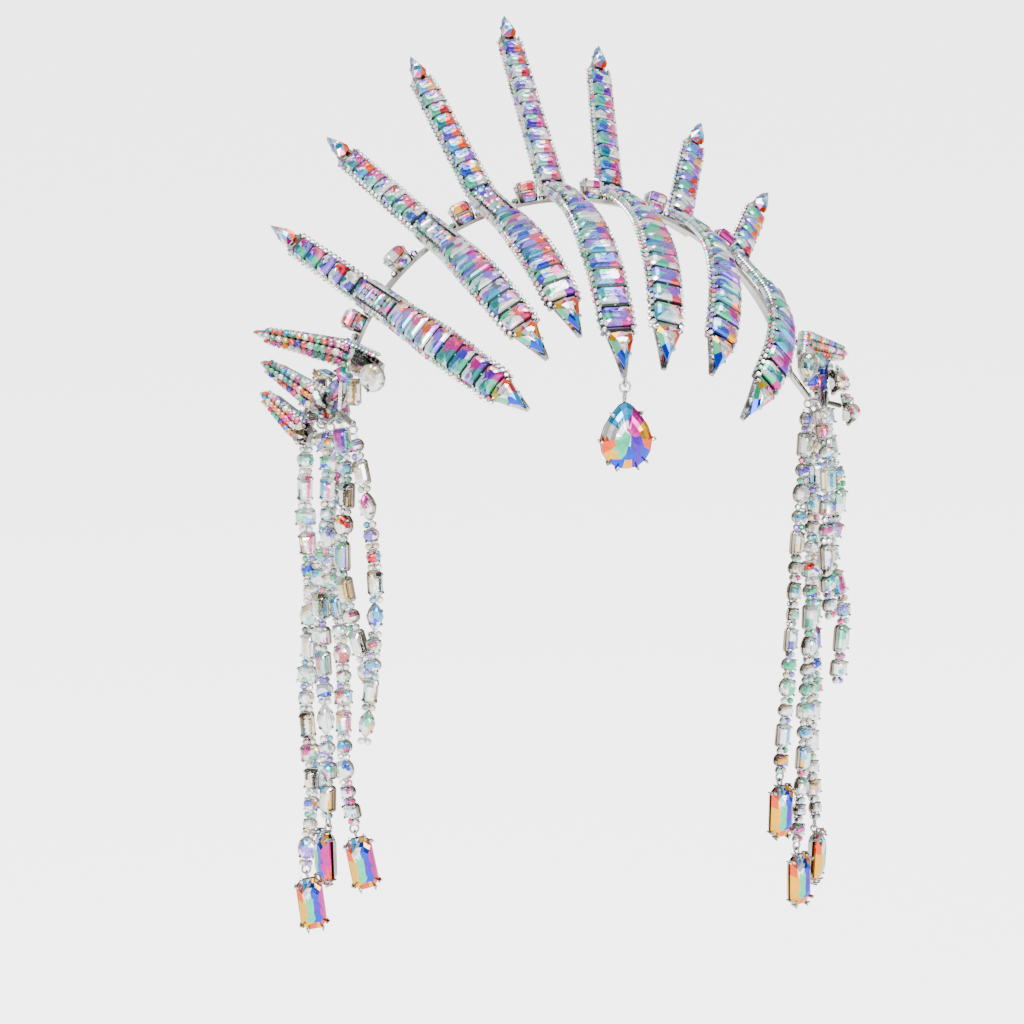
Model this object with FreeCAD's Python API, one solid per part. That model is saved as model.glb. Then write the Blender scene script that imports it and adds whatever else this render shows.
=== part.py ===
"""Fringe tiara: a band with crossing pointed blades, a pear pendant and hanging strands."""
import FreeCAD, Part
import math
import os
from FreeCAD import Vector as V

os.makedirs("parts", exist_ok=True)

# Driving sizes, in mm. The origin is under the band at the crown of the head,
# -Y is the front, +X is the wearer's left.
BAND_HALF_WIDTH = 78.4      # inner half width, ear to ear
BAND_RISE = 72.0            # height of the arch over its ends
BAND_STRIP = 9.0            # width of the strip
BAND_THICK = 1.2
BAND_LEAN = 8.0             # degrees that the arch leans back
BAND_END_ANGLE = 84.0       # degrees from the crown to each end
SEAT_GAP = 0.2              # between the band and what is fixed on it
STONE_GAP = 0.15            # between a stone and its seat
BLADE_BASE = 0.7            # height of the blade's square edge
BLADE_TOP = 1.9             # height of the blade's flat top
BLADE_BEVEL = 1.7           # width of the sloping side that holds the small rounds
SPIKE_WIDTH = 9.4
LEAF_WIDTH = 12.0
WIRE = 0.8                  # diameter of ring and prong wire
POST = 1.8                  # diameter of the posts behind the small blades
PEAR_WIDTH = 17.0
PEAR_HEIGHT = 22.0
DROP_WIDTH = 9.5
DROP_HEIGHT = 19.0

# Blades. knee: where the blade bends over the band; leaf: its tip on the forehead;
# spike: its tip above; bulge and shift: how the leaf bows between knee and tip;
# spike_stones and leaf_stones: wide stones, without the kite stone at each tip.
BLADES = [
    # name,    knee,                 leaf,                  spike,                bulge, shift, spk, leaf
    ("right_3", (-65.0, 7.5, -31.5), (-29.5, -98.0, -56.3), (-94.0, 45.0, -10.3), 10.5, 0.0, 5, 9),
    ("right_2", (-43.0, 11.5, -11.8), (-22.0, -90.5, -43.3), (-71.0, 62.0, 17.7), 12.0, -3.3, 7, 9),
    ("right_1", (-23.5, 14.0, -2.8), (-12.0, -89.0, -36.8), (-37.0, 82.5, 43.3), 11.3, -3.2, 9, 9),
    ("centre", (0.0, 13.5, 0.2), (0.0, -94.0, -47.8), (0.0, 97.0, 55.7), 18.7, -2.1, 11, 9),
    ("left_1", (20.0, 14.5, -1.8), (12.5, -93.5, -45.8), (31.5, 82.5, 44.7), 17.0, -2.0, 9, 9),
    ("left_2", (43.5, 12.0, -11.3), (28.5, -91.0, -48.3), (63.5, 60.0, 17.7), 14.3, -1.0, 7, 9),
    ("left_3", (65.5, 8.5, -22.0), (41.0, -90.5, -61.0), (83.5, 44.5, -6.3), 15.5, -4.5, 5, 9),
]

# Small blades at ear level. tip: outer point; cross: where it passes the band; end: front end.
SIDE_BLADES = [
    # name,           tip,                   cross,                 end,                 width, stones
    ("right_side_1", (-104.2, 20.0, -43.0), (-78.0, -9.0, -47.0), (-68.5, -34.0, -50.0), 9.6, 4),
    ("right_side_2", (-101.5, 18.0, -53.5), (-90.0, -6.0, -60.5), (-84.5, -21.0, -63.5), 8.6, 3),
    ("right_side_3", (-102.0, 16.0, -64.0), (-95.0, -4.0, -71.0), (-91.0, -17.0, -74.5), 8.6, 3),
    ("left_side_1", (106.5, 20.0, -62.0), (83.5, -9.0, -52.5), (75.5, -33.0, -59.0), 9.6, 4),
    ("left_side_2", (105.5, 18.0, -73.0), (94.5, -6.0, -65.0), (90.0, -20.0, -65.0), 8.6, 3),
    ("left_side_3", (106.0, 16.0, -84.0), (99.5, -4.0, -76.0), (96.5, -17.0, -77.5), 8.6, 3),
]

# Stones in collets on the band. across: X of the stone; size; turn about its own axis.
BAND_STONES = [
    # across, size, turn
    (-71.0, 7.2, 0.0),
    (-55.5, 7.8, 10.0),
    (-33.5, 7.6, 0.0),
    (-11.5, 7.2, 0.0),
    (10.5, 7.2, 0.0),
    (32.0, 7.6, 0.0),
    (54.5, 7.8, 0.0),
    (71.0, 7.2, 0.0),
]

# Fringe strands, as the line of each string of linked stones from its loop down.
STRANDS = [
    # name,      diameter, points down the strand
    ("right_a", 6.4, [(-90.3, 2, -74), (-91.8, 3, -103.4), (-90.9, 3, -126), (-92.2, 3, -150),
                      (-93.8, 3, -175.4), (-92.4, 3, -199.6), (-95.8, 3, -231.3)]),
    ("right_b", 6.4, [(-86.5, -8, -74), (-83.0, -9, -92), (-86.9, -8, -110.5), (-89.2, -7, -132.5),
                      (-89.0, -7, -155.5), (-88.2, -7, -179.6), (-89.4, -7.3, -211.3)]),
    ("right_c", 6.4, [(-82.3, -22, -70), (-81.3, -24.5, -92), (-83.4, -21, -116), (-80.6, -24, -138),
                      (-75.2, -28, -159)]),
    ("right_d", 5.6, [(-84.5, -15, -74), (-86.3, -14.5, -98), (-86.0, -14.5, -122), (-83.2, -15, -148),
                      (-83.0, -15, -172), (-83.8, -16, -192), (-81.0, -16, -211.8)]),
    ("right_e", 5.6, [(-79.4, -33, -72), (-76.0, -37, -96), (-74.0, -38.5, -124), (-76.0, -37.5, -152),
                      (-79.0, -36, -176)]),
    ("left_a", 6.4, [(91.0, 2, -80), (91.2, 1, -104), (89.8, 1, -128), (89.2, 0, -152),
                     (87.8, 0, -178), (86.6, 0, -204), (84.0, 0, -236.3)]),
    ("left_b", 6.4, [(93.0, 10, -82), (92.2, 10, -106), (94.2, 10, -130), (93.2, 10, -156),
                     (93.6, 10, -182), (92.4, 10, -206), (93.8, 9, -231.3)]),
    ("left_c", 6.4, [(90.0, -14, -74), (92.0, -16, -90), (95.6, -16, -106), (92.4, -13.5, -126),
                     (97.0, -14.5, -146), (94.6, -16, -172)]),
    ("left_d", 5.6, [(85.4, -10, -76), (83.6, -10, -100), (81.4, -10, -126), (79.6, -10, -152),
                     (77.6, -10, -178), (75.0, -10, -206.8)]),
    ("left_e", 5.6, [(87.6, -22, -78), (89.0, -24, -100), (87.6, -25, -122), (89.4, -24, -146)]),
]

# Cut drops that hang from the strand of the same name. lean: degrees that the foot swings
# out to the wearer's left; turn: degrees that the face turns out to the side.
DROPS = [
    # name,     lean, turn
    ("right_a", 6.0, 0.0),
    ("right_b", 0.0, 70.0),
    ("right_d", 10.0, 0.0),
    ("left_a", 0.0, 25.0),
    ("left_b", -4.0, 60.0),
    ("left_d", -2.0, 20.0),
]


def unit(v):
    return V(v).normalize()


def matrix(origin, along, across, out):
    """Placement whose X runs along, Y across and Z out."""
    m = FreeCAD.Matrix()
    for row, name in enumerate("xyz"):
        m_row = (getattr(along, name), getattr(across, name), getattr(out, name), getattr(origin, name))
        for col, value in enumerate(m_row):
            setattr(m, "A%d%d" % (row + 1, col + 1), value)
    return FreeCAD.Placement(m)


def ring(centre, axis, radius, wire=WIRE):
    return Part.makeTorus(radius, wire / 2, centre, axis)


def prism(outlines):
    """Closed solid through outlines with the same number of corners."""
    wires = [Part.makePolygon(points + [points[0]]) for points in outlines]
    return Part.makeLoft(wires, True, True)


def cut_stone(outline, deep, high, table, girdle=0.7):
    """A cut stone: pavilion foot, girdle, sloping crown and flat table. outline is in its own XY."""
    rows = [(0.72, 0.0), (1.0, deep), (1.0, deep + girdle), (table, deep + girdle + high)]
    layers = [[V(x * k, y * k, z) for x, y in outline] for k, z in rows]
    return prism(layers)


def cushion(length, width, corner=0.24):
    """Octagon outline: a rectangle with cut corners, X by Y."""
    a, b = length / 2, width / 2
    c = corner * min(length, width)
    return [(a, b - c), (a - c, b), (c - a, b), (-a, b - c),
            (-a, c - b), (c - a, -b), (a - c, -b), (a, c - b)]


def kite(length, width):
    """Kite outline with its long point towards +X."""
    s, w = length / 2, width / 2
    return [(s, 0.0), (s * 0.35, w * 0.52), (-s * 0.45, w), (-s * 0.85, w * 0.62),
            (-s, 0.0), (-s * 0.85, -w * 0.62), (-s * 0.45, -w), (s * 0.35, -w * 0.52)]


def pear(width, height, count=16):
    """Pear outline with its point towards +Y."""
    points = []
    for i in range(count):
        angle = math.pi / 2 + 2 * math.pi * i / count
        squeeze = 1.0 - 0.42 * max(0.0, math.sin(angle)) ** 1.6
        y = height * (0.5 * math.sin(angle) + 0.03 * (1 - math.cos(2 * angle)) - 0.06)
        points.append((width / 2 * math.cos(angle) * squeeze * 1.02, y))
    return points


# The band.
LEAN = math.radians(BAND_LEAN)
ARCH_UP = V(0, math.sin(LEAN), math.cos(LEAN))
ARCH_SIDE = V(0, math.cos(LEAN), -math.sin(LEAN))
ARCH_CENTRE = ARCH_UP * -BAND_RISE


def arch_point(angle, lift=0.0):
    """Point over the arch at an angle from the crown, and the outward direction there."""
    a, b = BAND_HALF_WIDTH, BAND_RISE
    t = math.radians(angle)
    out = V(math.sin(t) / a, 0, 0) + ARCH_UP * (math.cos(t) / b)
    out.normalize()
    point = ARCH_CENTRE + V(a * math.sin(t), 0, 0) + ARCH_UP * (b * math.cos(t))
    return point + out * lift, out


def arch_height(point):
    """Height of a point over the band's outer face."""
    rel = point - ARCH_CENTRE
    a, b = BAND_HALF_WIDTH + BAND_THICK, BAND_RISE + BAND_THICK
    x, up = rel.x, rel.dot(ARCH_UP)
    level = math.hypot(x / a, up / b)
    slope = math.hypot(x / a ** 2, up / b ** 2) / level
    return (level - 1) / slope


def ellipse_edge(extra, z):
    arch = Part.Ellipse(V(0, 0, 0), BAND_HALF_WIDTH + extra, BAND_RISE + extra)
    arch.translate(V(0, 0, z))
    first = math.radians(90 - BAND_END_ANGLE)
    return arch.toShape(first, math.pi - first)


def setting(outline, foot, floor, high, spots, wire=WIRE):
    """A cup under a stone with a prong outside each spot of its outline, in its own frame, Z out."""
    cup = prism([[V(x * k, y * k, z) for x, y in outline] for k, z in ((0.8, foot), (1.0, floor))])
    for i, j in spots:
        before, after = (outline[i - 1], outline[(i + 1) % len(outline)]) if i == j else (outline[i], outline[j])
        edge = V((outline[i][0] + outline[j][0]) / 2, (outline[i][1] + outline[j][1]) / 2, 0)
        away = unit(V(after[1] - before[1], before[0] - after[0], 0))
        low = edge + away * 0.05 + V(0, 0, floor - 0.7)
        top = edge + away * (wire / 2 + 0.3) + V(0, 0, high)
        cup = cup.fuse(Part.makeCylinder(wire / 2, (top - low).Length, low, top - low))
    return cup


def collet(size, rise):
    """Square cup with a prong at each cut corner."""
    return setting(cushion(size, size), -0.4, rise, rise + 2.2, ((0, 1), (2, 3), (4, 5), (6, 7)))


def band_place(across, lift, turn=0.0):
    angle = math.degrees(math.asin(across / (BAND_HALF_WIDTH + BAND_THICK)))
    point, out = arch_point(angle, BAND_THICK + lift)
    along = ARCH_SIDE.cross(out)
    place = matrix(point, along, ARCH_SIDE * 1.0, out)
    return place.multiply(FreeCAD.Placement(V(0, 0, 0), FreeCAD.Rotation(V(0, 0, 1), turn)))


def strip_solid():
    inner, outer = ellipse_edge(0, 0), ellipse_edge(BAND_THICK, 0)
    ends = []
    for i in (0, 1):
        ends.append(Part.makeLine(inner.Vertexes[i].Point, outer.Vertexes[i].Point))
    face = Part.Face(Part.Wire(Part.__sortEdges__([inner, ends[0], outer, ends[1]])))
    strip = face.extrude(V(0, 0, BAND_STRIP))
    strip.translate(V(0, 0, -BAND_STRIP / 2))
    strip.Placement = matrix(ARCH_CENTRE, V(1, 0, 0), ARCH_UP, ARCH_SIDE * -1).multiply(strip.Placement)
    return strip


COLLET_RISE = 3.6


def rod(start, end, radius):
    return Part.makeCylinder(radius, (end - start).Length, start, end - start)


def side_face(sign):
    """The way that the small blades face."""
    return unit(V(sign * 0.62, -0.68, 0.1))


def end_plate(side):
    """Plate at the end of the band that carries the strands and the small blades, with loops below."""
    names = [row for row in STRANDS if row[0].startswith(side)]
    sign = -1 if side == "right" else 1
    heads = sorted((row[2][0] for row in names), key=lambda p: p[1])
    foot = arch_point(sign * BAND_END_ANGLE, 0.0)[0]
    plate = None
    spots = [V(x, y, z + 4.6) for x, y, z in heads]
    spots.sort(key=lambda p: p.y)
    for a, b in zip(spots, spots[1:]):
        bar = Part.makeCylinder(1.1, (b - a).Length, a, b - a)
        plate = bar if plate is None else plate.fuse(bar)
    for spot in spots:
        plate = plate.fuse(Part.makeSphere(1.25, spot))
        plate = plate.fuse(ring(spot + V(0, 0, -2.1), V(0, 1, 0), 1.4))
    near = min(spots, key=lambda p: (p - foot).Length)
    start = V(foot.x + sign * 0.6, foot.y, foot.z + 2.0)
    plate = plate.fuse(rod(start, near, 1.2))
    for row in SIDE_BLADES:
        if row[0].startswith(side):
            seat = V(*row[2]) - side_face(sign) * (POST / 2 + SEAT_GAP)
            edge = arch_point(sign * 70.0, BAND_THICK / 2)[0] if row[0].endswith("1") else near
            plate = plate.fuse(rod(edge, seat, POST / 2)).fuse(Part.makeSphere(POST / 2, seat))
    return plate


def headband():
    band = strip_solid()
    for across, size, turn in BAND_STONES:
        cup = collet(size, COLLET_RISE)
        cup.Placement = band_place(across, 0.0, turn)
        band = band.fuse(cup)
    for side in ("right", "left"):
        band = band.fuse(end_plate(side))
    return band


# Blades.
def section(point, across, out, width):
    """Low trapezoid with square lower edges: the back of the blade is on the point."""
    half = width / 2
    bevel = min(BLADE_BEVEL, half * 0.55)
    rows = [(-half, 0.0), (half, 0.0), (half, BLADE_BASE), (half - bevel, BLADE_TOP),
            (bevel - half, BLADE_TOP), (-half, BLADE_BASE)]
    return [point + across * x + out * z for x, z in rows]


class Leaf:
    """The curved lower half of a blade, in one plane through knee and tip."""

    def __init__(self, knee, tip, bulge, shift):
        self.knee = V(*knee)
        self.chord = V(*tip) - self.knee
        middle = (V(*knee) + V(*tip)) * 0.5
        head = V(middle.x / 82 ** 2, (middle.y + 16) / 98 ** 2, (middle.z + 96.8) / 93 ** 2)
        self.across = unit(self.chord.cross(head))
        self.out = unit(self.across.cross(self.chord))
        self.bulge, self.shift = bulge, shift

    def point(self, t):
        bow = self.bulge * 4 * t * (1 - t) + self.shift * 16 * t * (1 - t) * (0.5 - t)
        return self.knee + self.chord * t + self.out * bow

    def frame(self, t):
        """Point, direction down the leaf, across and out."""
        along = unit(self.point(min(t + 0.01, 1.0)) - self.point(max(t - 0.01, 0.0)))
        return self.point(t), along, self.across, unit(self.across.cross(along))

    def seat(self):
        """Moves the leaf so that it rests on the band."""
        heights = []
        for i in range(41):
            point, along, across, out = self.frame(i / 100.0)
            for x in (-SPIKE_WIDTH / 2, 0, SPIKE_WIDTH / 2):
                spot = point + across * x
                if abs((spot - ARCH_CENTRE).dot(ARCH_SIDE)) < BAND_STRIP / 2 + 0.5:
                    heights.append((arch_height(spot), spot))
        low, spot = min(heights, key=lambda item: item[0])
        rel = spot - ARCH_CENTRE
        out = V(rel.x / BAND_HALF_WIDTH ** 2, 0, 0) + ARCH_UP * (rel.dot(ARCH_UP) / BAND_RISE ** 2)
        move = unit(out) * (SEAT_GAP - low)
        self.knee = self.knee + move
        return move


def leaf_width(t):
    """Width down the leaf: wide in the middle, a shoulder, then the point."""
    rows = [(0.0, SPIKE_WIDTH), (0.35, SPIKE_WIDTH + 0.6), (0.6, LEAF_WIDTH), (0.88, LEAF_WIDTH - 0.6),
            (0.895, 8.6), (1.0, 1.6)]
    for (t0, w0), (t1, w1) in zip(rows, rows[1:]):
        if t <= t1:
            return w0 + (w1 - w0) * (t - t0) / (t1 - t0)
    return rows[-1][1]


LEAF_STEPS = [0.0, 0.07, 0.14, 0.22, 0.3, 0.39, 0.48, 0.58, 0.68, 0.78, 0.88, 0.895, 0.95, 1.0]


def spike_frame(leaf, spike):
    """Direction up the spike, across and out."""
    along = unit(V(*spike) - leaf.knee)
    out = leaf.frame(0.0)[3] - V(0, 0.35, 0)
    across = unit(along.cross(out))
    return along, across, unit(across.cross(along))


def spike_solid(base, along, across, out, length, width):
    rows = [(-5.0, width), (length - 14.5, width - 1.2), (length - 13.0, width - 2.6), (length, 1.2)]
    return prism([section(base + along * s, across, out, w) for s, w in rows])


def blade(row):
    name, knee, tip, spike, bulge, shift, spike_stones, leaf_stones = row
    leaf = Leaf(knee, tip, bulge, shift)
    leaf.seat()
    metal = prism([section(leaf.point(t), leaf.across, leaf.frame(t)[3], leaf_width(t))
                   for t in LEAF_STEPS])
    along, across, out = spike_frame(leaf, spike)
    length = (V(*spike) - leaf.knee).Length
    metal = metal.fuse(spike_solid(leaf.knee, along, across, out, length, SPIKE_WIDTH))
    boss_out = unit(out + leaf.frame(0.0)[3])
    metal = metal.fuse(Part.makeCylinder(4.4, 2.6, leaf.knee + boss_out * 0.2, boss_out))

    stones = []
    pitch = (length - 15.5 - 3.0) / spike_stones
    lift = BLADE_TOP + STONE_GAP
    for i in range(spike_stones):
        stone = cut_stone(cushion(pitch - 0.5, 6.4 - 0.08 * i), 0.3, 1.5, 0.62)
        stone.Placement = matrix(leaf.knee + along * (3.0 + pitch * (i + 0.5)) + out * lift,
                                 along, across * -1, out)
        stones.append(stone)
    point = cut_stone(kite(12.5, 5.8), 0.3, 1.8, 0.5)
    point.Placement = matrix(leaf.knee + along * (length - 6.4) + out * lift, along, across * -1, out)
    stones.append(point)

    first, last = 0.34, 0.885
    for i in range(leaf_stones):
        t = first + (last - first) * (i + 0.5) / leaf_stones
        step = leaf.chord.Length * (last - first) / leaf_stones
        width = leaf_width(t) - 2 * BLADE_BEVEL
        spot, down, side, face = leaf.frame(t)
        stone = cut_stone(cushion(step - 0.5, width + 0.6), 0.3, 1.5, 0.6)
        stone.Placement = matrix(spot + face * (lift + 0.05), down, side * -1, face)
        stones.append(stone)
    spot, down, side, face = leaf.frame(0.947)
    point = cut_stone(kite(11.6, 7.0), 0.3, 2.0, 0.5)
    point.Placement = matrix(spot + face * (lift + 0.05), down, side * -1, face)
    stones.append(point)

    if name == "centre":
        metal = metal.fuse(eyelet(leaf))
    return metal, Part.makeCompound(stones), leaf


# The pendant. It swings on the eyelet at the tip of the centre blade.
EYELET_RADIUS = 1.5
LINK_RADIUS = 1.7


def hinge_point(leaf):
    tip, along, across, out = leaf.frame(1.0)
    return tip + out * (BLADE_TOP / 2) + V(0, 0, -EYELET_RADIUS)


def eyelet(leaf):
    return ring(hinge_point(leaf), V(1, 0, 0), EYELET_RADIUS)


def pendant(leaf):
    """Link, bail and setting as one solid, and the stone; they hang straight down."""
    hinge = hinge_point(leaf)
    link = ring(hinge + V(0, 0, -LINK_RADIUS), V(0, 1, 0), LINK_RADIUS)
    bail = ring(hinge + V(0, 0, -2 * LINK_RADIUS - 0.9), V(1, 0, 0), 1.2)
    middle = hinge + V(0, 0.4, -2 * LINK_RADIUS - 3.0 - PEAR_HEIGHT / 2)
    cup = setting(pear(PEAR_WIDTH, PEAR_HEIGHT), -2.4, 0.0, 2.6, [(i, i) for i in (2, 4, 6, 7, 9, 10, 12, 14)])
    place = matrix(middle, V(1, 0, 0), V(0, 0, 1), V(0, -1, 0))
    cup.Placement = place
    neck = Part.makeCylinder(0.6, 4.8, middle + V(0, 0.9, PEAR_HEIGHT / 2 - 2.6), V(0, 0, 1))
    metal = link.fuse(bail).fuse(cup).fuse(neck)
    stone = cut_stone([(x * 0.985, y * 0.985) for x, y in pear(PEAR_WIDTH, PEAR_HEIGHT)], 1.0, 2.6, 0.56)
    stone.translate(V(0, 0, STONE_GAP))
    stone.Placement = place.multiply(stone.Placement)
    return metal, stone


# Small blades at ear level.
def side_blade(row):
    name, tip, cross, end, width, count = row
    tip, cross, end = V(*tip), V(*cross), V(*end)
    sign = -1 if tip.x < 0 else 1
    face = side_face(sign)
    spots = [end, end + (cross - end) * 0.5, cross, cross + (tip - cross) * 0.62, tip]
    widths = [width * 0.5, width * 0.95, width, width * 0.72, 1.4]
    rows = []
    for i, spot in enumerate(spots):
        along = unit(spots[min(i + 1, 4)] - spots[max(i - 1, 0)])
        across = unit(along.cross(face))
        rows.append((spot, along, across, unit(across.cross(along)), widths[i]))
    metal = prism([section(spot, across, out, w) for spot, along, across, out, w in rows])
    stones = []
    for i in range(count):
        f = (i + 0.5) / count
        spot = cross + (tip - cross) * (0.04 + 0.72 * f)
        along = unit(tip - cross)
        across = unit(along.cross(face))
        out = unit(across.cross(along))
        size = width * (1 - 0.45 * f) - 2.6
        stone = cut_stone(cushion((tip - cross).Length * 0.72 / count - 0.5, size), 0.3, 1.4, 0.62)
        stone.Placement = matrix(spot + out * (BLADE_TOP + STONE_GAP + 0.35), along, across * -1, out)
        stones.append(stone)
    along = unit(end - cross)
    across = unit(along.cross(face))
    out = unit(across.cross(along))
    big = cut_stone(kite((end - cross).Length * 0.62, width * 0.62), 0.3, 2.2, 0.5)
    if out.dot(face) < 0:
        out = out * -1
    big.Placement = matrix(cross + (end - cross) * 0.62 + out * (BLADE_TOP + STONE_GAP + 0.4),
                           along, out.cross(along), out)
    stones.append(big)
    return metal, stones


# Strands and drops.
def tube(points, diameter):
    """Straight runs joined by tangent arcs."""
    spots = [V(*p) for p in points]
    edges, start = [], spots[0]
    for a, b, c in zip(spots, spots[1:], spots[2:]):
        into, away = b - a, c - b
        turn = into.getAngle(away)
        reach = 0.45 * min(into.Length, away.Length)
        first, last = b - unit(into) * reach, b + unit(away) * reach
        centre_way = unit(unit(away) - unit(into))
        radius = reach / math.tan(turn / 2)
        centre = b + centre_way * (radius / math.cos(turn / 2))
        middle = centre - centre_way * radius
        edges.append(Part.makeLine(start, first))
        edges.append(Part.Arc(first, middle, last).toShape())
        start = last
    edges.append(Part.makeLine(start, spots[-1]))
    path = Part.Wire(edges)
    circle = Part.makeCircle(diameter / 2, spots[0], spots[1] - spots[0])
    return path.makePipeShell([Part.Wire([circle])], True, False)


def drop(end, lean, turn):
    """Ring and setting as one solid, and the cut stone. end is the strand's lower end."""
    cup = setting(cushion(DROP_HEIGHT, DROP_WIDTH), -1.8, 0.0, 2.4, [(i, i) for i in range(8)], 0.7)
    loop = ring(V(-DROP_HEIGHT / 2 - 0.9, 0, -0.8), V(0, 1, 0), 1.2)
    link = ring(V(-DROP_HEIGHT / 2 - 2.9, 0, -0.8), V(0, 0, 1), 1.5)
    metal = cup.fuse(loop).fuse(link)
    stone = cut_stone(cushion(DROP_HEIGHT - 0.4, DROP_WIDTH - 0.4), 0.8, 2.2, 0.5)
    stone.translate(V(0, 0, STONE_GAP))
    swing, yaw = math.radians(lean), math.radians(turn)
    down = V(math.sin(swing), 0, -math.cos(swing))
    out = unit(V(-math.sin(yaw) * (1 if end.x < 0 else -1), -math.cos(yaw), 0))
    out = unit(out - down * out.dot(down))
    place = matrix(end + down * (DROP_HEIGHT / 2 + 5.1), down, out.cross(down), out)
    for shape in (metal, stone):
        shape.Placement = place.multiply(shape.Placement)
    return metal, stone


def build():
    nodes = {"headband": headband()}
    stones = []
    for across, size, turn in BAND_STONES:
        stone = cut_stone(cushion(size - 0.3, size - 0.3), 0.9, 1.8, 0.6)
        stone.translate(V(0, 0, COLLET_RISE + STONE_GAP))
        stone.Placement = band_place(across, 0.0, turn).multiply(stone.Placement)
        stones.append(stone)
    nodes["band_stones"] = Part.makeCompound(stones)

    for row in BLADES:
        metal, gems, leaf = blade(row)
        nodes["blade_%s" % row[0]] = metal
        nodes["blade_%s_stones" % row[0]] = gems
        if row[0] == "centre":
            nodes["pendant_setting"], nodes["pendant_stone"] = pendant(leaf)
            print("hinge", hinge_point(leaf))

    for side in ("right", "left"):
        gems = []
        for row in SIDE_BLADES:
            if row[0].startswith(side):
                nodes["blade_%s" % row[0]], found = side_blade(row)
                gems += found
        nodes["%s_side_stones" % side] = Part.makeCompound(gems)

    for name, diameter, points in STRANDS:
        nodes["strand_%s" % name] = tube(points, diameter)
    ends = {name: V(*points[-1]) for name, diameter, points in STRANDS}
    for name, lean, turn in DROPS:
        nodes["drop_%s_setting" % name], nodes["drop_%s_stone" % name] = drop(ends[name], lean, turn)
    return nodes


for node, shape in build().items():
    if shape.ShapeType == "Compound" and len(shape.Solids) == 1:
        shape = shape.Solids[0]
    shape.exportStep("parts/%s.step" % node)
    print("%-26s solids %2d valid %s volume %.0f" % (node, len(shape.Solids), shape.isValid(), shape.Volume))
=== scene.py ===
"""Finish of the fringe tiara: cut crystals, small rounds, prongs, linked strands, light and view."""
import math
import random

import bpy
from mathutils import Matrix, Vector


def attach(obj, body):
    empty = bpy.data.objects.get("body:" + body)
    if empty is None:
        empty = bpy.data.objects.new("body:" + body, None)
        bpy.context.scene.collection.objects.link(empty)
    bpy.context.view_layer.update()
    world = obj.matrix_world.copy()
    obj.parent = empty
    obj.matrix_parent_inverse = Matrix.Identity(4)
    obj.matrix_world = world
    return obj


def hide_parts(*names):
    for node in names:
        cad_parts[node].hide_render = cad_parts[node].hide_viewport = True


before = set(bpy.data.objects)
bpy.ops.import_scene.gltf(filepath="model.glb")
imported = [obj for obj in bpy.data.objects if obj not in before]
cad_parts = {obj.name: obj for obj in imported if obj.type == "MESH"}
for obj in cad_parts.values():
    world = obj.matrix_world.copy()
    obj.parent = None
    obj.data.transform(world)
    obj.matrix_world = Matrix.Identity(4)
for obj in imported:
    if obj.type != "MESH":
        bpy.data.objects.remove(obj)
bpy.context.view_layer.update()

MM = 0.001
BODY = "tiara"

# Sizes in mm, the same as in the part's source.
HEAD_CENTRE = (0.0, -16.0, -96.8)
HEAD_HALF = (82.0, 98.0, 93.0)
BAND_HALF_WIDTH = 78.4
BAND_RISE = 72.0
BAND_STRIP = 9.0
BAND_THICK = 1.2
BAND_LEAN = 8.0
SEAT_GAP = 0.2
STONE_GAP = 0.15
BLADE_BASE = 0.7
BLADE_TOP = 1.9
BLADE_BEVEL = 1.7
SPIKE_WIDTH = 9.4
LEAF_WIDTH = 12.0
COLLET_RISE = 3.6
PEAR_WIDTH = 17.0
PEAR_HEIGHT = 22.0
DROP_WIDTH = 9.5
DROP_HEIGHT = 19.0
LINK_RADIUS = 1.7
EYELET_RADIUS = 1.5

# Sizes of the dressing, in mm; places on a leaf are shares of its length.
SPIKE_START = 3.0
SPIKE_POINT = 15.5
LEAF_STONES = 9
LEAF_START = 0.34
LEAF_END = 0.885
LEAF_KITE = 0.942
SIDE_TAPER = 0.45
SIDE_END_KITE = 8.0
EDGE_PITCH = 2.1
FIRST_LINK = 0.6
LINK_GAP = 2.2
LINK_WIDER = 1.14
LAST_LINK = ("round", 4.4, 4.4)
DROP_TAIL = 1.6
PLAIN_TAIL = 0.4
WIRE_EYE = 1.3
EYE_BEYOND = 0.4
EYE_BEHIND = 1.9
JUMP_RING = 1.85
EAR_WIRE = 1.1

# Camera and room, in metres and degrees; the lens is in pixels of the photo.
CAMERA_SIDE = -11.0
CAMERA_ABOVE = 12.0
CAMERA_ROLL = -1.2
CAMERA_AWAY = 1.15
CAMERA_TARGET = (-0.024, -0.024, -0.1028)
LENS_PIXELS = 3358.0
PHOTO_PIXELS = 1024.0
SENSOR = 36.0
FLOOR_LEVEL = -0.42
FLOOR_HALF = 80
LIGHTS = [
    # name,  place,              size,        power
    ("key", (-0.9, -1.3, 1.1), (0.8, 0.8), 36),
    ("fill", (1.2, -1.1, 0.5), (0.6, 0.9), 18),
    ("top", (0.0, 0.1, 1.5), (1.2, 0.8), 26),
    ("low", (-0.2, -1.5, -0.15), (0.7, 0.25), 7),
]
LIGHT_AIM = (0.0, -0.02, -0.1)
ROOM_BANDS = [
    # place from front to back, brightness in reflections
    (0.0, 2.2), (0.05, 2.2), (0.08, 0.05), (0.16, 0.06), (0.2, 2.6),
    (0.27, 0.08), (0.36, 0.1), (0.41, 2.4), (0.48, 0.12), (0.72, 0.9),
]
BACKDROP = (3.75, 3.75, 3.75, 1.0)

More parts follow.
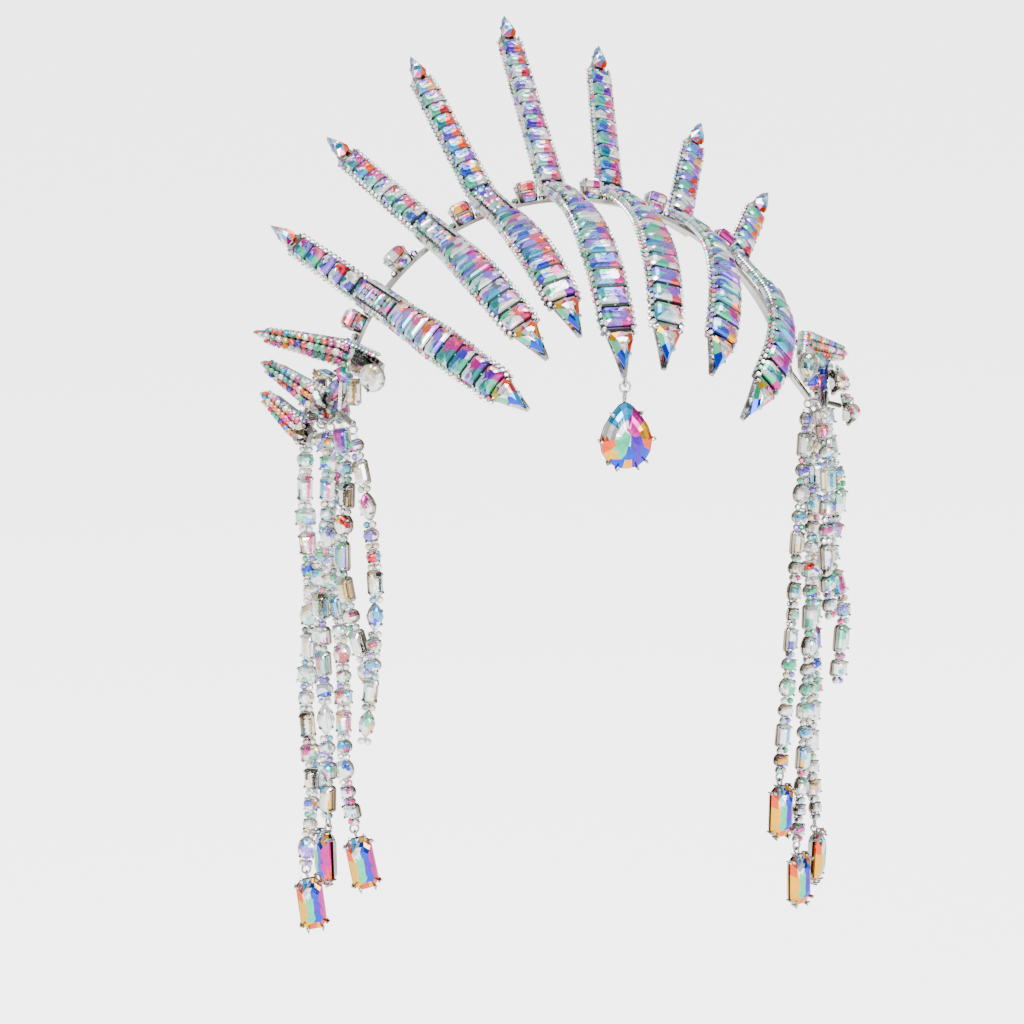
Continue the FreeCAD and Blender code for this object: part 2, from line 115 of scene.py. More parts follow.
BLADES = [
    # name,    knee,                 leaf tip,              spike tip,            bulge, shift, spike stones
    ("right_3", (-65.0, 7.5, -31.5), (-29.5, -98.0, -56.3), (-94.0, 45.0, -10.3), 10.5, 0.0, 5),
    ("right_2", (-43.0, 11.5, -11.8), (-22.0, -90.5, -43.3), (-71.0, 62.0, 17.7), 12.0, -3.3, 7),
    ("right_1", (-23.5, 14.0, -2.8), (-12.0, -89.0, -36.8), (-37.0, 82.5, 43.3), 11.3, -3.2, 9),
    ("centre", (0.0, 13.5, 0.2), (0.0, -94.0, -47.8), (0.0, 97.0, 55.7), 18.7, -2.1, 11),
    ("left_1", (20.0, 14.5, -1.8), (12.5, -93.5, -45.8), (31.5, 82.5, 44.7), 17.0, -2.0, 9),
    ("left_2", (43.5, 12.0, -11.3), (28.5, -91.0, -48.3), (63.5, 60.0, 17.7), 14.3, -1.0, 7),
    ("left_3", (65.5, 8.5, -22.0), (41.0, -90.5, -61.0), (83.5, 44.5, -6.3), 15.5, -4.5, 5),
]
SIDE_BLADES = [
    # name,           tip,                   cross,                 end,                 width
    ("right_side_1", (-104.2, 20.0, -43.0), (-78.0, -9.0, -47.0), (-68.5, -34.0, -50.0), 9.6),
    ("right_side_2", (-101.5, 18.0, -53.5), (-90.0, -6.0, -60.5), (-84.5, -21.0, -63.5), 8.6),
    ("right_side_3", (-102.0, 16.0, -64.0), (-95.0, -4.0, -71.0), (-91.0, -17.0, -74.5), 8.6),
    ("left_side_1", (106.5, 20.0, -62.0), (83.5, -9.0, -52.5), (75.5, -33.0, -59.0), 9.6),
    ("left_side_2", (105.5, 18.0, -73.0), (94.5, -6.0, -65.0), (90.0, -20.0, -65.0), 8.6),
    ("left_side_3", (106.0, 16.0, -84.0), (99.5, -4.0, -76.0), (96.5, -17.0, -77.5), 8.6),
]
BAND_STONES = [
    # across, size, turn
    (-71.0, 7.2, 0.0),
    (-55.5, 7.8, 10.0),
    (-33.5, 7.6, 0.0),
    (-11.5, 7.2, 0.0),
    (10.5, 7.2, 0.0),
    (32.0, 7.6, 0.0),
    (54.5, 7.8, 0.0),
    (71.0, 7.2, 0.0),
]
STRANDS = [
    # name,      points down the strand
    ("right_a", [(-90.3, 2, -74), (-91.8, 3, -103.4), (-90.9, 3, -126), (-92.2, 3, -150),
                 (-93.8, 3, -175.4), (-92.4, 3, -199.6), (-95.8, 3, -231.3)]),
    ("right_b", [(-86.5, -8, -74), (-83.0, -9, -92), (-86.9, -8, -110.5), (-89.2, -7, -132.5),
                 (-89.0, -7, -155.5), (-88.2, -7, -179.6), (-89.4, -7.3, -211.3)]),
    ("right_c", [(-82.3, -22, -70), (-81.3, -24.5, -92), (-83.4, -21, -116), (-80.6, -24, -138),
                 (-75.2, -28, -159)]),
    ("right_d", [(-84.5, -15, -74), (-86.3, -14.5, -98), (-86.0, -14.5, -122), (-83.2, -15, -148),
                 (-83.0, -15, -172), (-83.8, -16, -192), (-81.0, -16, -211.8)]),
    ("right_e", [(-79.4, -33, -72), (-76.0, -37, -96), (-74.0, -38.5, -124), (-76.0, -37.5, -152),
                 (-79.0, -36, -176)]),
    ("left_a", [(91.0, 2, -80), (91.2, 1, -104), (89.8, 1, -128), (89.2, 0, -152),
                (87.8, 0, -178), (86.6, 0, -204), (84.0, 0, -236.3)]),
    ("left_b", [(93.0, 10, -82), (92.2, 10, -106), (94.2, 10, -130), (93.2, 10, -156),
                (93.6, 10, -182), (92.4, 10, -206), (93.8, 9, -231.3)]),
    ("left_c", [(90.0, -14, -74), (92.0, -16, -90), (95.6, -16, -106), (92.4, -13.5, -126),
                (97.0, -14.5, -146), (94.6, -16, -172)]),
    ("left_d", [(85.4, -10, -76), (83.6, -10, -100), (81.4, -10, -126), (79.6, -10, -152),
                (77.6, -10, -178), (75.0, -10, -206.8)]),
    ("left_e", [(87.6, -22, -78), (89.0, -24, -100), (87.6, -25, -122), (89.4, -24, -146)]),
]
DROPS = [
    # name,     lean, turn
    ("right_a", 6.0, 0.0),
    ("right_b", 0.0, 70.0),
    ("right_d", 10.0, 0.0),
    ("left_a", 0.0, 25.0),
    ("left_b", -4.0, 60.0),
    ("left_d", -2.0, 20.0),
]

# Links down a strand: shape, length, width; the rows repeat until the strand ends.
LINK_ROWS = {
    "right_a": [("square", 6.2, 6.2), ("round", 5.2, 5.2), ("baguette", 9.6, 4.6), ("square", 6.0, 6.0),
                ("baguette", 8.0, 5.0), ("round", 5.4, 5.4), ("round", 4.6, 4.6), ("oval", 8.0, 6.0),
                ("baguette", 9.4, 4.8)],
    "right_b": [("square", 6.6, 6.6), ("baguette", 8.8, 4.8), ("round", 5.4, 5.4), ("navette", 11.0, 5.6),
                ("round", 5.0, 5.0), ("square", 6.0, 6.0), ("baguette", 9.6, 5.2)],
    "right_c": [("baguette", 8.8, 5.0), ("round", 5.2, 5.2), ("baguette", 9.0, 5.0), ("oval", 7.4, 6.0),
                ("baguette", 10.4, 5.2)],
    "right_d": [("round", 4.6, 4.6), ("square", 5.4, 5.4), ("baguette", 8.0, 4.6), ("round", 4.8, 4.8),
                ("oval", 7.2, 5.4)],
    "right_e": [("round", 4.6, 4.6), ("baguette", 8.6, 4.4), ("navette", 9.6, 5.0), ("round", 4.8, 4.8)],
    "left_a": [("square", 6.0, 6.0), ("round", 5.0, 5.0), ("baguette", 9.0, 4.8), ("oval", 7.6, 5.8),
               ("round", 4.8, 4.8), ("round", 4.8, 4.8)],
    "left_b": [("baguette", 9.4, 5.0), ("round", 5.2, 5.2), ("square", 6.0, 6.0), ("baguette", 8.4, 4.8)],
    "left_c": [("square", 6.4, 6.4), ("baguette", 9.2, 5.2), ("round", 5.2, 5.2), ("baguette", 9.8, 5.2),
               ("square", 6.0, 6.0)],
    "left_d": [("round", 4.8, 4.8), ("baguette", 8.6, 4.6), ("round", 4.8, 4.8), ("oval", 7.0, 5.4)],
    "left_e": [("square", 5.4, 5.4), ("round", 4.8, 4.8), ("baguette", 8.8, 4.6)],
}


# Directions and places, in mm.
def unit(v):
    return Vector(v).normalized()


def axes(origin, along, across, out, size=(1, 1, 1)):
    """Place of a stone: X runs along, Y across, Z out, with its size in mm."""
    turn = Matrix((along, across, out)).transposed()
    return Matrix.Translation(origin) @ turn.to_4x4() @ Matrix.Diagonal((*size, 1.0))


ARCH_UP = Vector((0, math.sin(math.radians(BAND_LEAN)), math.cos(math.radians(BAND_LEAN))))
ARCH_SIDE = Vector((0, math.cos(math.radians(BAND_LEAN)), -math.sin(math.radians(BAND_LEAN))))
ARCH_CENTRE = ARCH_UP * -BAND_RISE


def arch_point(angle, lift=0.0):
    t = math.radians(angle)
    out = unit(Vector((math.sin(t) / BAND_HALF_WIDTH, 0, 0)) + ARCH_UP * (math.cos(t) / BAND_RISE))
    point = ARCH_CENTRE + Vector((BAND_HALF_WIDTH * math.sin(t), 0, 0)) + ARCH_UP * (BAND_RISE * math.cos(t))
    return point + out * lift, out


def arch_height(point):
    rel = point - ARCH_CENTRE
    a, b = BAND_HALF_WIDTH + BAND_THICK, BAND_RISE + BAND_THICK
    x, up = rel.x, rel.dot(ARCH_UP)
    level = math.hypot(x / a, up / b)
    return (level - 1) / (math.hypot(x / a ** 2, up / b ** 2) / level)


def band_place(across, lift, turn=0.0):
    angle = math.degrees(math.asin(across / (BAND_HALF_WIDTH + BAND_THICK)))
    point, out = arch_point(angle, BAND_THICK + lift)
    return axes(point, ARCH_SIDE.cross(out), ARCH_SIDE, out) @ Matrix.Rotation(math.radians(turn), 4, "Z")


class Leaf:
    """Line of a blade's lower half, seated on the band."""

    def __init__(self, knee, tip, bulge, shift):
        self.knee = Vector(knee)
        self.chord = Vector(tip) - self.knee
        middle = (Vector(knee) + Vector(tip)) * 0.5 - Vector(HEAD_CENTRE)
        head = Vector([middle[i] / HEAD_HALF[i] ** 2 for i in range(3)])
        self.across = unit(self.chord.cross(head))
        self.out = unit(self.across.cross(self.chord))
        self.bulge, self.shift = bulge, shift
        self.seat()

    def point(self, t):
        bow = self.bulge * 4 * t * (1 - t) + self.shift * 16 * t * (1 - t) * (0.5 - t)
        return self.knee + self.chord * t + self.out * bow

    def frame(self, t):
        along = unit(self.point(min(t + 0.01, 1.0)) - self.point(max(t - 0.01, 0.0)))
        return self.point(t), along, self.across, unit(self.across.cross(along))

    def seat(self):
        heights = []
        for i in range(41):
            point, along, across, out = self.frame(i / 100.0)
            for x in (-SPIKE_WIDTH / 2, 0, SPIKE_WIDTH / 2):
                spot = point + across * x
                if abs((spot - ARCH_CENTRE).dot(ARCH_SIDE)) < BAND_STRIP / 2 + 0.5:
                    heights.append((arch_height(spot), spot))
        low, spot = min(heights, key=lambda item: item[0])
        rel = spot - ARCH_CENTRE
        out = Vector((rel.x / BAND_HALF_WIDTH ** 2, 0, 0)) + ARCH_UP * (rel.dot(ARCH_UP) / BAND_RISE ** 2)
        self.knee = self.knee + unit(out) * (SEAT_GAP - low)


def width_at(rows, at):
    """Width at a place, from rows of place and width."""
    for (s0, w0), (s1, w1) in zip(rows, rows[1:]):
        if at <= s1:
            return w0 + (w1 - w0) * (at - s0) / (s1 - s0)
    return rows[-1][1]


def leaf_width(t):
    return width_at([(0.0, SPIKE_WIDTH), (0.35, SPIKE_WIDTH + 0.6), (0.6, LEAF_WIDTH), (0.88, LEAF_WIDTH - 0.6),
                     (0.895, 8.6), (1.0, 1.6)], t)


def spike_width(s, length):
    return width_at([(-5.0, SPIKE_WIDTH), (length - 14.5, SPIKE_WIDTH - 1.2),
                     (length - 13.0, SPIKE_WIDTH - 2.6), (length, 1.2)], s)


# Cut stones, one unit long and wide, from the foot at 0 to the table at 1.
def split(outline, parts):
    """Outline with each side longer than the mean cut into parts."""
    pairs = list(zip(outline, outline[1:] + outline[:1]))
    sides = [math.dist(a, b) for a, b in pairs]
    mean = sum(sides) / len(sides)
    points = []
    for (a, b), side in zip(pairs, sides):
        count = parts if side > mean else 1
        points += [(a[0] + (b[0] - a[0]) * k / count, a[1] + (b[1] - a[1]) * k / count)
                   for k in range(count)]
    return points


def cushion_outline(ratio=1.0, corner=0.16):
    """Octagon one unit each way; ratio is length over width, which shapes the cut corners."""
    cx, cy = (corner / ratio, corner) if ratio > 1 else (corner, corner * ratio)
    return [(0.5, 0.5 - cy), (0.5 - cx, 0.5), (cx - 0.5, 0.5), (-0.5, 0.5 - cy),
            (-0.5, cy - 0.5), (cx - 0.5, -0.5), (0.5 - cx, -0.5), (0.5, cy - 0.5)]


def round_outline(count):
    return [(0.5 * math.cos(2 * math.pi * i / count), 0.5 * math.sin(2 * math.pi * i / count))
            for i in range(count)]


def navette_outline():
    return [(x, y * (1 - 2 * abs(x)) ** 0.25 if abs(x) < 0.49 else 0.0) for x, y in round_outline(12)]


def kite_outline():
    return [(0.5, 0.0), (0.12, 0.27), (-0.28, 0.5), (-0.45, 0.4),
            (-0.5, 0.0), (-0.45, -0.4), (-0.28, -0.5), (0.12, -0.27)]


def pear_outline():
    points, count = [], 16
    for i in range(count):
        angle = math.pi / 2 + 2 * math.pi * i / count
        squeeze = 1.0 - 0.42 * max(0.0, math.sin(angle)) ** 1.6
        y = 0.5 * math.sin(angle) + 0.03 * (1 - math.cos(2 * angle)) - 0.06
        points.append((0.5 * math.cos(angle) * squeeze * 1.02, y))
    return points


FULL_CUT = [(0.8, 0.0), (1.0, 0.12), (1.0, 0.42), (0.84, 0.78), (0.62, 1.0)]
STEP_CUT = [(0.72, 0.0), (1.0, 0.2), (1.0, 0.38), (0.86, 0.62), (0.7, 0.84), (0.52, 1.0)]
KITE_CUT = [(0.8, 0.0), (1.0, 0.2), (1.0, 0.36), (0.62, 0.8), (0.34, 1.0)]
SMALL_CUT = [(1.0, 0.0), (1.0, 0.42), (0.58, 1.0)]


def walls(rows, count):
    """Four-sided faces between rings of points."""
    faces = []
    for r in range(rows - 1):
        for i in range(count):
            j = (i + 1) % count
            faces.append((r * count + i, r * count + j, (r + 1) * count + j, (r + 1) * count + i))
    return faces


def cut_mesh(name, outline, rows, patches=9, flip=False, stretch=1.0, seed=1, chart=None):
    """Closed cut stone. Facets fall into patches: facet numbers the patch, side tells how far right it lies.

    A chart fixes the patches instead: length, width and the value of side for each.
    """
    rng = random.Random(seed)
    count = len(outline)
    points = [(x * k, y * k, z) for k, z in rows for x, y in outline]
    faces = [tuple(range(count))[::-1]]
    for n, quad in enumerate(walls(len(rows), count)):
        if n >= 2 * count and patches:
            faces += [(quad[0], quad[1], quad[2]), (quad[0], quad[2], quad[3])]
        else:
            faces.append(quad)
    top = (len(rows) - 1) * count
    if patches:
        k = rows[-1][0]
        inner = len(points)
        for i in range(count):
            (x0, y0), (x1, y1) = outline[i], outline[(i + 1) % count]
            points.append(((x0 + x1) * 0.27 * k, (y0 + y1) * 0.27 * k, 1.0 + rng.uniform(0.0, 0.05)))
        middle = len(points)
        points.append((0.05, 0.03, 1.0))
        for i in range(count):
            j = (i + 1) % count
            faces += [(top + i, top + j, inner + i), (top + j, inner + j, inner + i),
                      (inner + i, inner + j, middle)]
    else:
        faces.append(tuple(range(top, top + count)))
    if chart is None:
        spots = [(rng.uniform(-0.5, 0.5), rng.uniform(-0.5, 0.5)) for k in range(patches)]
        chart = [(x, y, 0.5 - y if flip else 0.5 + y) for x, y in spots]
    marks, sides = [], []
    for face in faces:
        x = sum(points[v][0] for v in face) / len(face)
        y = sum(points[v][1] for v in face) / len(face)
        away = [math.hypot((x - row[0]) / stretch, y - row[1]) for row in chart]
        nearest = away.index(min(away))
        marks.append((nearest + 1) / len(chart))
        sides.append(chart[nearest][2])
    return mesh_of(name, points, faces, marks, sides)


def mesh_of(name, points, faces, marks=None, sides=None):
    mesh = bpy.data.meshes.new(name)
    mesh.from_pydata(points, [], faces)
    mesh.attributes.new("facet", "FLOAT", "FACE")
    mesh.attributes.new("side", "FLOAT", "FACE")
    if marks:
        mesh.attributes["facet"].data.foreach_set("value", marks)
        mesh.attributes["side"].data.foreach_set("value", sides)
    return mesh


def bar_mesh(name):
    points = [(x, y, z) for x in (-0.5, 0.5) for y in (-0.5, 0.5) for z in (0.0, 1.0)]
    faces = [(0, 1, 3, 2), (4, 6, 7, 5), (0, 4, 5, 1), (2, 3, 7, 6), (0, 2, 6, 4), (1, 5, 7, 3)]
    return mesh_of(name, points, faces)


def stack_mesh(name, points, rows, count):
    """Closed form from rings of points, with a flat floor and top."""
    last = (rows - 1) * count
    ends = [tuple(range(count))[::-1], tuple(range(last, last + count))]
    return mesh_of(name, points, ends + walls(rows, count))


def cup_mesh(name, outline, rows):
    """Plain metal setting under a stone."""
    return stack_mesh(name, [(x * k, y * k, z) for k, z in rows for x, y in outline], len(rows), len(outline))


def claw_mesh(name):
    """Prong with a ball end that leans over the stone: foot at 0, ball at 1, leaning to -X."""
    rows = [(0.0, 0.0, 0.5), (0.1, 0.55, 0.45), (-0.15, 0.85, 0.5), (-0.55, 1.0, 0.62), (-0.95, 1.0, 0.38)]
    sides, tall = 6, 2.6
    points = []
    for i, (x, z, r) in enumerate(rows):
        below, above = rows[max(i - 1, 0)], rows[min(i + 1, len(rows) - 1)]
        lean = unit((above[0] - below[0], 0, (above[1] - below[1]) * tall))
        side = Vector((0, 1, 0)).cross(lean)
        for k in range(sides):
            a = 2 * math.pi * k / sides
            p = side * (math.cos(a) * r) + Vector((0, 1, 0)) * (math.sin(a) * r)
            points.append((x + p.x, p.y, z + p.z / tall))
    return stack_mesh(name, points, len(rows), sides)


def ball_mesh(name):
    rings, sides = 4, 8
    points = [(0, 0, -0.5)]
    for r in range(1, rings):
        a = math.pi * r / rings
        points += [(0.5 * math.sin(a) * math.cos(2 * math.pi * k / sides),
                    0.5 * math.sin(a) * math.sin(2 * math.pi * k / sides), -0.5 * math.cos(a))
                   for k in range(sides)]
    points.append((0, 0, 0.5))
    faces = [tuple(v + 1 for v in face) for face in walls(rings - 1, sides)]
    last = 1 + (rings - 2) * sides
    for k in range(sides):
        j = (k + 1) % sides
        faces += [(0, 1 + j, 1 + k), (last + k, last + j, len(points) - 1)]
    return mesh_of(name, points, faces)


def ring_mesh(name):
    """Round wire ring one unit across, standing in XZ."""
    wire, around, sides = 0.22, 14, 6
    points, faces = [], []
    for i in range(around):
        a = 2 * math.pi * i / around
        for k in range(sides):
            b = 2 * math.pi * k / sides
            r = 0.5 - wire / 2 + wire / 2 * math.cos(b)
            points.append((r * math.cos(a), wire / 2 * math.sin(b), r * math.sin(a)))
            p, q = (i + 1) % around, (k + 1) % sides
            faces.append((i * sides + k, p * sides + k, p * sides + q, i * sides + q))
    return mesh_of(name, points, faces)


# Materials.
def feed(tree, node, inputs):
    """Gives each input its value, or the output that drives it."""
    for socket, value in inputs.items():
        if isinstance(value, bpy.types.NodeSocket):
            tree.links.new(value, node.inputs[socket])
        else:
            node.inputs[socket].default_value = value


def add_node(tree, kind, inputs=None, **settings):
    node = tree.nodes.new(kind)
    for label, value in settings.items():
        setattr(node, label, value)
    feed(tree, node, inputs or {})
    return node


def ramp(tree, stops, driver, constant=True):
    """Colour from rows of place and colour, at the driver's value."""
    node = add_node(tree, "ShaderNodeValToRGB", {"Fac": driver})
    node.color_ramp.interpolation = "CONSTANT" if constant else "LINEAR"
    while len(node.color_ramp.elements) < len(stops):
        node.color_ramp.elements.new(1.0)
    for i, (place, color) in enumerate(stops):
        node.color_ramp.elements[i].position = place
        node.color_ramp.elements[i].color = (*color, 1.0)
    return node.outputs["Color"]


def new_material(name):
    material = bpy.data.materials.new(name)
    material.use_nodes = True
    return material, material.node_tree, material.node_tree.nodes["Principled BSDF"]


def crystal(name, stops, spread=0.55, metallic=0.6):
    """Foil-backed cut crystal: each patch of facets takes its own colour of the coat."""
    material, tree, shader = new_material(name)
    facet, stone, side = [add_node(tree, "ShaderNodeAttribute", attribute_name=label).outputs["Fac"]
                          for label in ("facet", "stone", "side")]
    pair = add_node(tree, "ShaderNodeCombineXYZ", {"X": facet, "Y": stone}).outputs["Vector"]
    chance = add_node(tree, "ShaderNodeTexWhiteNoise", {"Vector": pair}, noise_dimensions="3D").outputs["Value"]
    share = add_node(tree, "ShaderNodeMath", {0: chance, 1: 1.0 - spread}, operation="MULTIPLY")
    shift = add_node(tree, "ShaderNodeMath", {0: side, 1: spread, 2: share.outputs["Value"]},
                     operation="MULTIPLY_ADD")
    colors = ramp(tree, stops, shift.outputs["Value"])
    place = add_node(tree, "ShaderNodeTexCoord").outputs["Object"]
    cloud = add_node(tree, "ShaderNodeTexNoise", {"Vector": place, "Scale": 700.0}).outputs["Fac"]
    soft = ramp(tree, [(0.3, (0.86, 0.86, 0.86)), (0.6, (1.0, 1.0, 1.0))], cloud, constant=False)
    mix = add_node(tree, "ShaderNodeMix", {"Factor": 1.0, "A": colors, "B": soft},
                   data_type="RGBA", blend_type="MULTIPLY")
    gloss = add_node(tree, "ShaderNodeMapRange", {"Value": chance, "To Min": 0.06, "To Max": 0.16})
    feed(tree, shader, {"Metallic": metallic, "IOR": 1.6, "Coat Weight": 0.3, "Coat Roughness": 0.02,
                        "Base Color": mix.outputs["Result"], "Roughness": gloss.outputs["Result"]})
    return material


def plated(name, color, dark, rough):
    """Polished plated metal with faint wear and a fine grain."""
    material, tree, shader = new_material(name)
    place = add_node(tree, "ShaderNodeTexCoord").outputs["Object"]
    cloud = add_node(tree, "ShaderNodeTexNoise", {"Vector": place, "Scale": 60.0, "Detail": 4.0}).outputs["Fac"]
    gloss = add_node(tree, "ShaderNodeMapRange", {"Value": cloud, "To Min": rough + 0.1, "To Max": rough})
    grain = add_node(tree, "ShaderNodeTexNoise", {"Vector": place, "Scale": 900.0}).outputs["Fac"]
    bump = add_node(tree, "ShaderNodeBump", {"Height": grain, "Strength": 0.12, "Distance": 0.0002})
    colors = ramp(tree, [(0.3, dark), (0.62, color)], cloud, constant=False)
    feed(tree, shader, {"Metallic": 1.0, "Base Color": colors, "Roughness": gloss.outputs["Result"],
                        "Normal": bump.outputs["Normal"]})
    return material


def seen(red, green, blue):
    """Linear values of a colour given as it shows on a screen."""
    return (red ** 2.2, green ** 2.2, blue ** 2.2)


MINT, TEAL, CYAN = seen(0.24, 0.78, 0.58), seen(0.02, 0.50, 0.50), seen(0.16, 0.66, 0.90)
BLUE, LILAC, VIOLET = seen(0.05, 0.22, 0.80), seen(0.56, 0.38, 0.92), seen(0.30, 0.02, 0.72)
MAGENTA, ROSE, RED = seen(0.74, 0.00, 0.54), seen(0.94, 0.30, 0.56), seen(0.74, 0.02, 0.03)
ORANGE, YELLOW = seen(0.92, 0.30, 0.0), seen(0.94, 0.66, 0.0)
WHITE, PALE, GREY = seen(1.0, 1.0, 1.0), seen(0.66, 0.92, 0.86), seen(0.36, 0.42, 0.42)
CREAM, TAN, BLACK = seen(0.98, 0.90, 0.70), seen(0.66, 0.52, 0.30), seen(0.03, 0.04, 0.04)


def stops(*colors):
    return [(i / len(colors), color) for i, color in enumerate(colors)]


SOFT_COAT = stops(MINT, WHITE, TEAL, PALE, MINT, CYAN, WHITE, MINT, BLUE, LILAC, TEAL, VIOLET, WHITE,
                  MAGENTA, LILAC, ROSE, MAGENTA, WHITE, ORANGE, RED, YELLOW, ORANGE)
SMALL_COAT = stops(WHITE, PALE, WHITE, GREY, WHITE, MINT, WHITE, LILAC, WHITE, PALE, CREAM, WHITE, ROSE,
                   WHITE, CYAN)
BRIGHT_COAT = stops(YELLOW, ORANGE, MINT, CYAN, BLUE, TEAL, WHITE, MINT, LILAC, MAGENTA, BLUE, ROSE, ORANGE,
                    YELLOW)
FIRE_COAT = stops(WHITE, ORANGE, MINT, WHITE, MAGENTA, YELLOW, CYAN, WHITE, VIOLET, ROSE, TEAL, WHITE, ORANGE,
                  MINT)
CLEAR_COAT = stops(WHITE, PALE, CREAM, WHITE, GREY, WHITE, TAN, CYAN, WHITE, BLACK, CREAM, ROSE)
FRINGE_COAT = stops(WHITE, CYAN, WHITE, MINT, CREAM, WHITE, CYAN, MAGENTA, WHITE, PALE, WHITE, BLUE, WHITE,
                    LILAC, YELLOW, WHITE, CYAN, WHITE, MINT, WHITE, RED, CREAM)
CHART_COAT = stops(MINT, MAGENTA, VIOLET, BLUE, YELLOW, CYAN, ORANGE, WHITE, WHITE)

crystal_soft = crystal("iridescent_crystal", SOFT_COAT)
crystal_small = crystal("small_iridescent_crystal", SMALL_COAT, 0.1)
crystal_bright = crystal("bright_iridescent_crystal", BRIGHT_COAT, 0.45)
crystal_clear = crystal("clear_crystal", CLEAR_COAT, 0.1, 0.75)
crystal_fringe = crystal("fringe_iridescent_crystal", FRINGE_COAT, 0.1)
crystal_fire = crystal("fiery_small_crystal", FIRE_COAT, 0.1)
crystal_chart = crystal("large_iridescent_crystal", CHART_COAT, 1.0, 0.8)
silver = plated("silver_plate", (0.50, 0.49, 0.47), (0.16, 0.15, 0.13), 0.1)
# Painted reflection and shade: warm tan-brown metal that stands in for the tan surroundings reflected in the
# settings and for the shade on their walls.
painted_reflection_and_shade = plated("warm_reflecting_back", (0.46, 0.38, 0.25), (0.20, 0.15, 0.09), 0.14)
# Painted shadow: near-black metal for the bars set in the gaps between stones, where shade falls.
shadow = plated("dark_gap_metal", (0.05, 0.07, 0.06), (0.015, 0.02, 0.02), 0.3)


# Colours of the larger stones, patch by patch.
PEAR_CHART = [
    # across, up, place in the palette
    (-0.04, -0.02, 0.02), (0.10, 0.10, 0.13), (0.14, -0.10, 0.24), (-0.12, -0.18, 0.02), (0.02, -0.26, 0.35),
    (0.0, 0.42, 0.57), (0.20, 0.28, 0.13), (0.34, 0.08, 0.46), (0.42, -0.12, 0.68), (0.34, -0.28, 0.35),
    (0.16, -0.40, 0.24), (0.0, -0.46, 0.46), (-0.18, -0.42, 0.35), (-0.34, -0.28, 0.46), (-0.42, -0.10, 0.68),
    (-0.36, 0.08, 0.90), (-0.22, 0.26, 0.57), (-0.10, 0.14, 0.80),
]
KITE_CHART = [
    # along, across, place in the palette
    (0.25, 0.2, 0.57), (0.25, -0.2, 0.68), (0.0, 0.4, 0.35), (0.0, -0.4, 0.68), (0.42, -0.1, 0.46),
    (-0.1, 0.0, 0.90), (-0.4, 0.3, 0.80), (-0.42, -0.3, 0.68), (-0.3, 0.0, 0.57), (-0.46, 0.0, 0.13),
]
DROP_CHART = [
    # down, across, place in the palette
    (-0.44, -0.2, 0.57), (-0.44, 0.25, 0.46), (-0.3, -0.44, 0.68), (0.0, -0.44, 0.46), (0.3, -0.42, 0.46),
    (-0.3, -0.15, 0.90), (-0.05, -0.12, 0.02), (0.22, -0.1, 0.02), (-0.25, 0.15, 0.35), (0.05, 0.16, 0.24),
    (0.28, 0.14, 0.35), (-0.2, 0.42, 0.13), (0.1, 0.42, 0.13), (0.36, 0.4, 0.68), (0.46, -0.1, 0.68),
    (0.46, 0.15, 0.46),
]
LEAF_KITE_CHART = [
    # along, across, place in the palette
    (0.25, 0.2, 0.57), (0.25, -0.2, 0.35), (0.0, 0.4, 0.68), (0.0, -0.4, 0.02), (0.42, 0.1, 0.57),
    (-0.1, 0.0, 0.80), (-0.4, 0.3, 0.68), (-0.42, -0.3, 0.46), (-0.3, 0.1, 0.90), (-0.46, 0.0, 0.13),
]


# Geometry nodes: one stone, prong or link part set at every spot.
def setting_tree():
    tree = bpy.data.node_groups.new("set_on_spots", "GeometryNodeTree")
    sockets = [("Geometry", "NodeSocketGeometry", "INPUT"), ("Shape", "NodeSocketObject", "INPUT"),
               ("Scale", "NodeSocketFloat", "INPUT"), ("Finish", "NodeSocketMaterial", "INPUT"),
               ("Geometry", "NodeSocketGeometry", "OUTPUT")]
    for name, kind, way in sockets:
        tree.interface.new_socket(name, in_out=way, socket_type=kind)
    source = add_node(tree, "NodeGroupInput")
    info = add_node(tree, "GeometryNodeObjectInfo", {"Object": source.outputs["Shape"]})
    turn = add_node(tree, "GeometryNodeInputNamedAttribute", {"Name": "turn"}, data_type="QUATERNION")
    size = add_node(tree, "GeometryNodeInputNamedAttribute", {"Name": "size"}, data_type="FLOAT_VECTOR")
    scaled = add_node(tree, "ShaderNodeVectorMath",
                      {0: size.outputs["Attribute"], "Scale": source.outputs["Scale"]}, operation="SCALE")
    put = add_node(tree, "GeometryNodeInstanceOnPoints",
                   {"Points": source.outputs["Geometry"], "Instance": info.outputs["Geometry"],
                    "Rotation": turn.outputs["Attribute"], "Scale": scaled.outputs["Vector"]})
    real = add_node(tree, "GeometryNodeRealizeInstances", {"Geometry": put.outputs["Instances"]})
    finish = add_node(tree, "GeometryNodeSetMaterial",
                      {"Geometry": real.outputs["Geometry"], "Material": source.outputs["Finish"]})
    add_node(tree, "NodeGroupOutput", {"Geometry": finish.outputs["Geometry"]})
    return tree


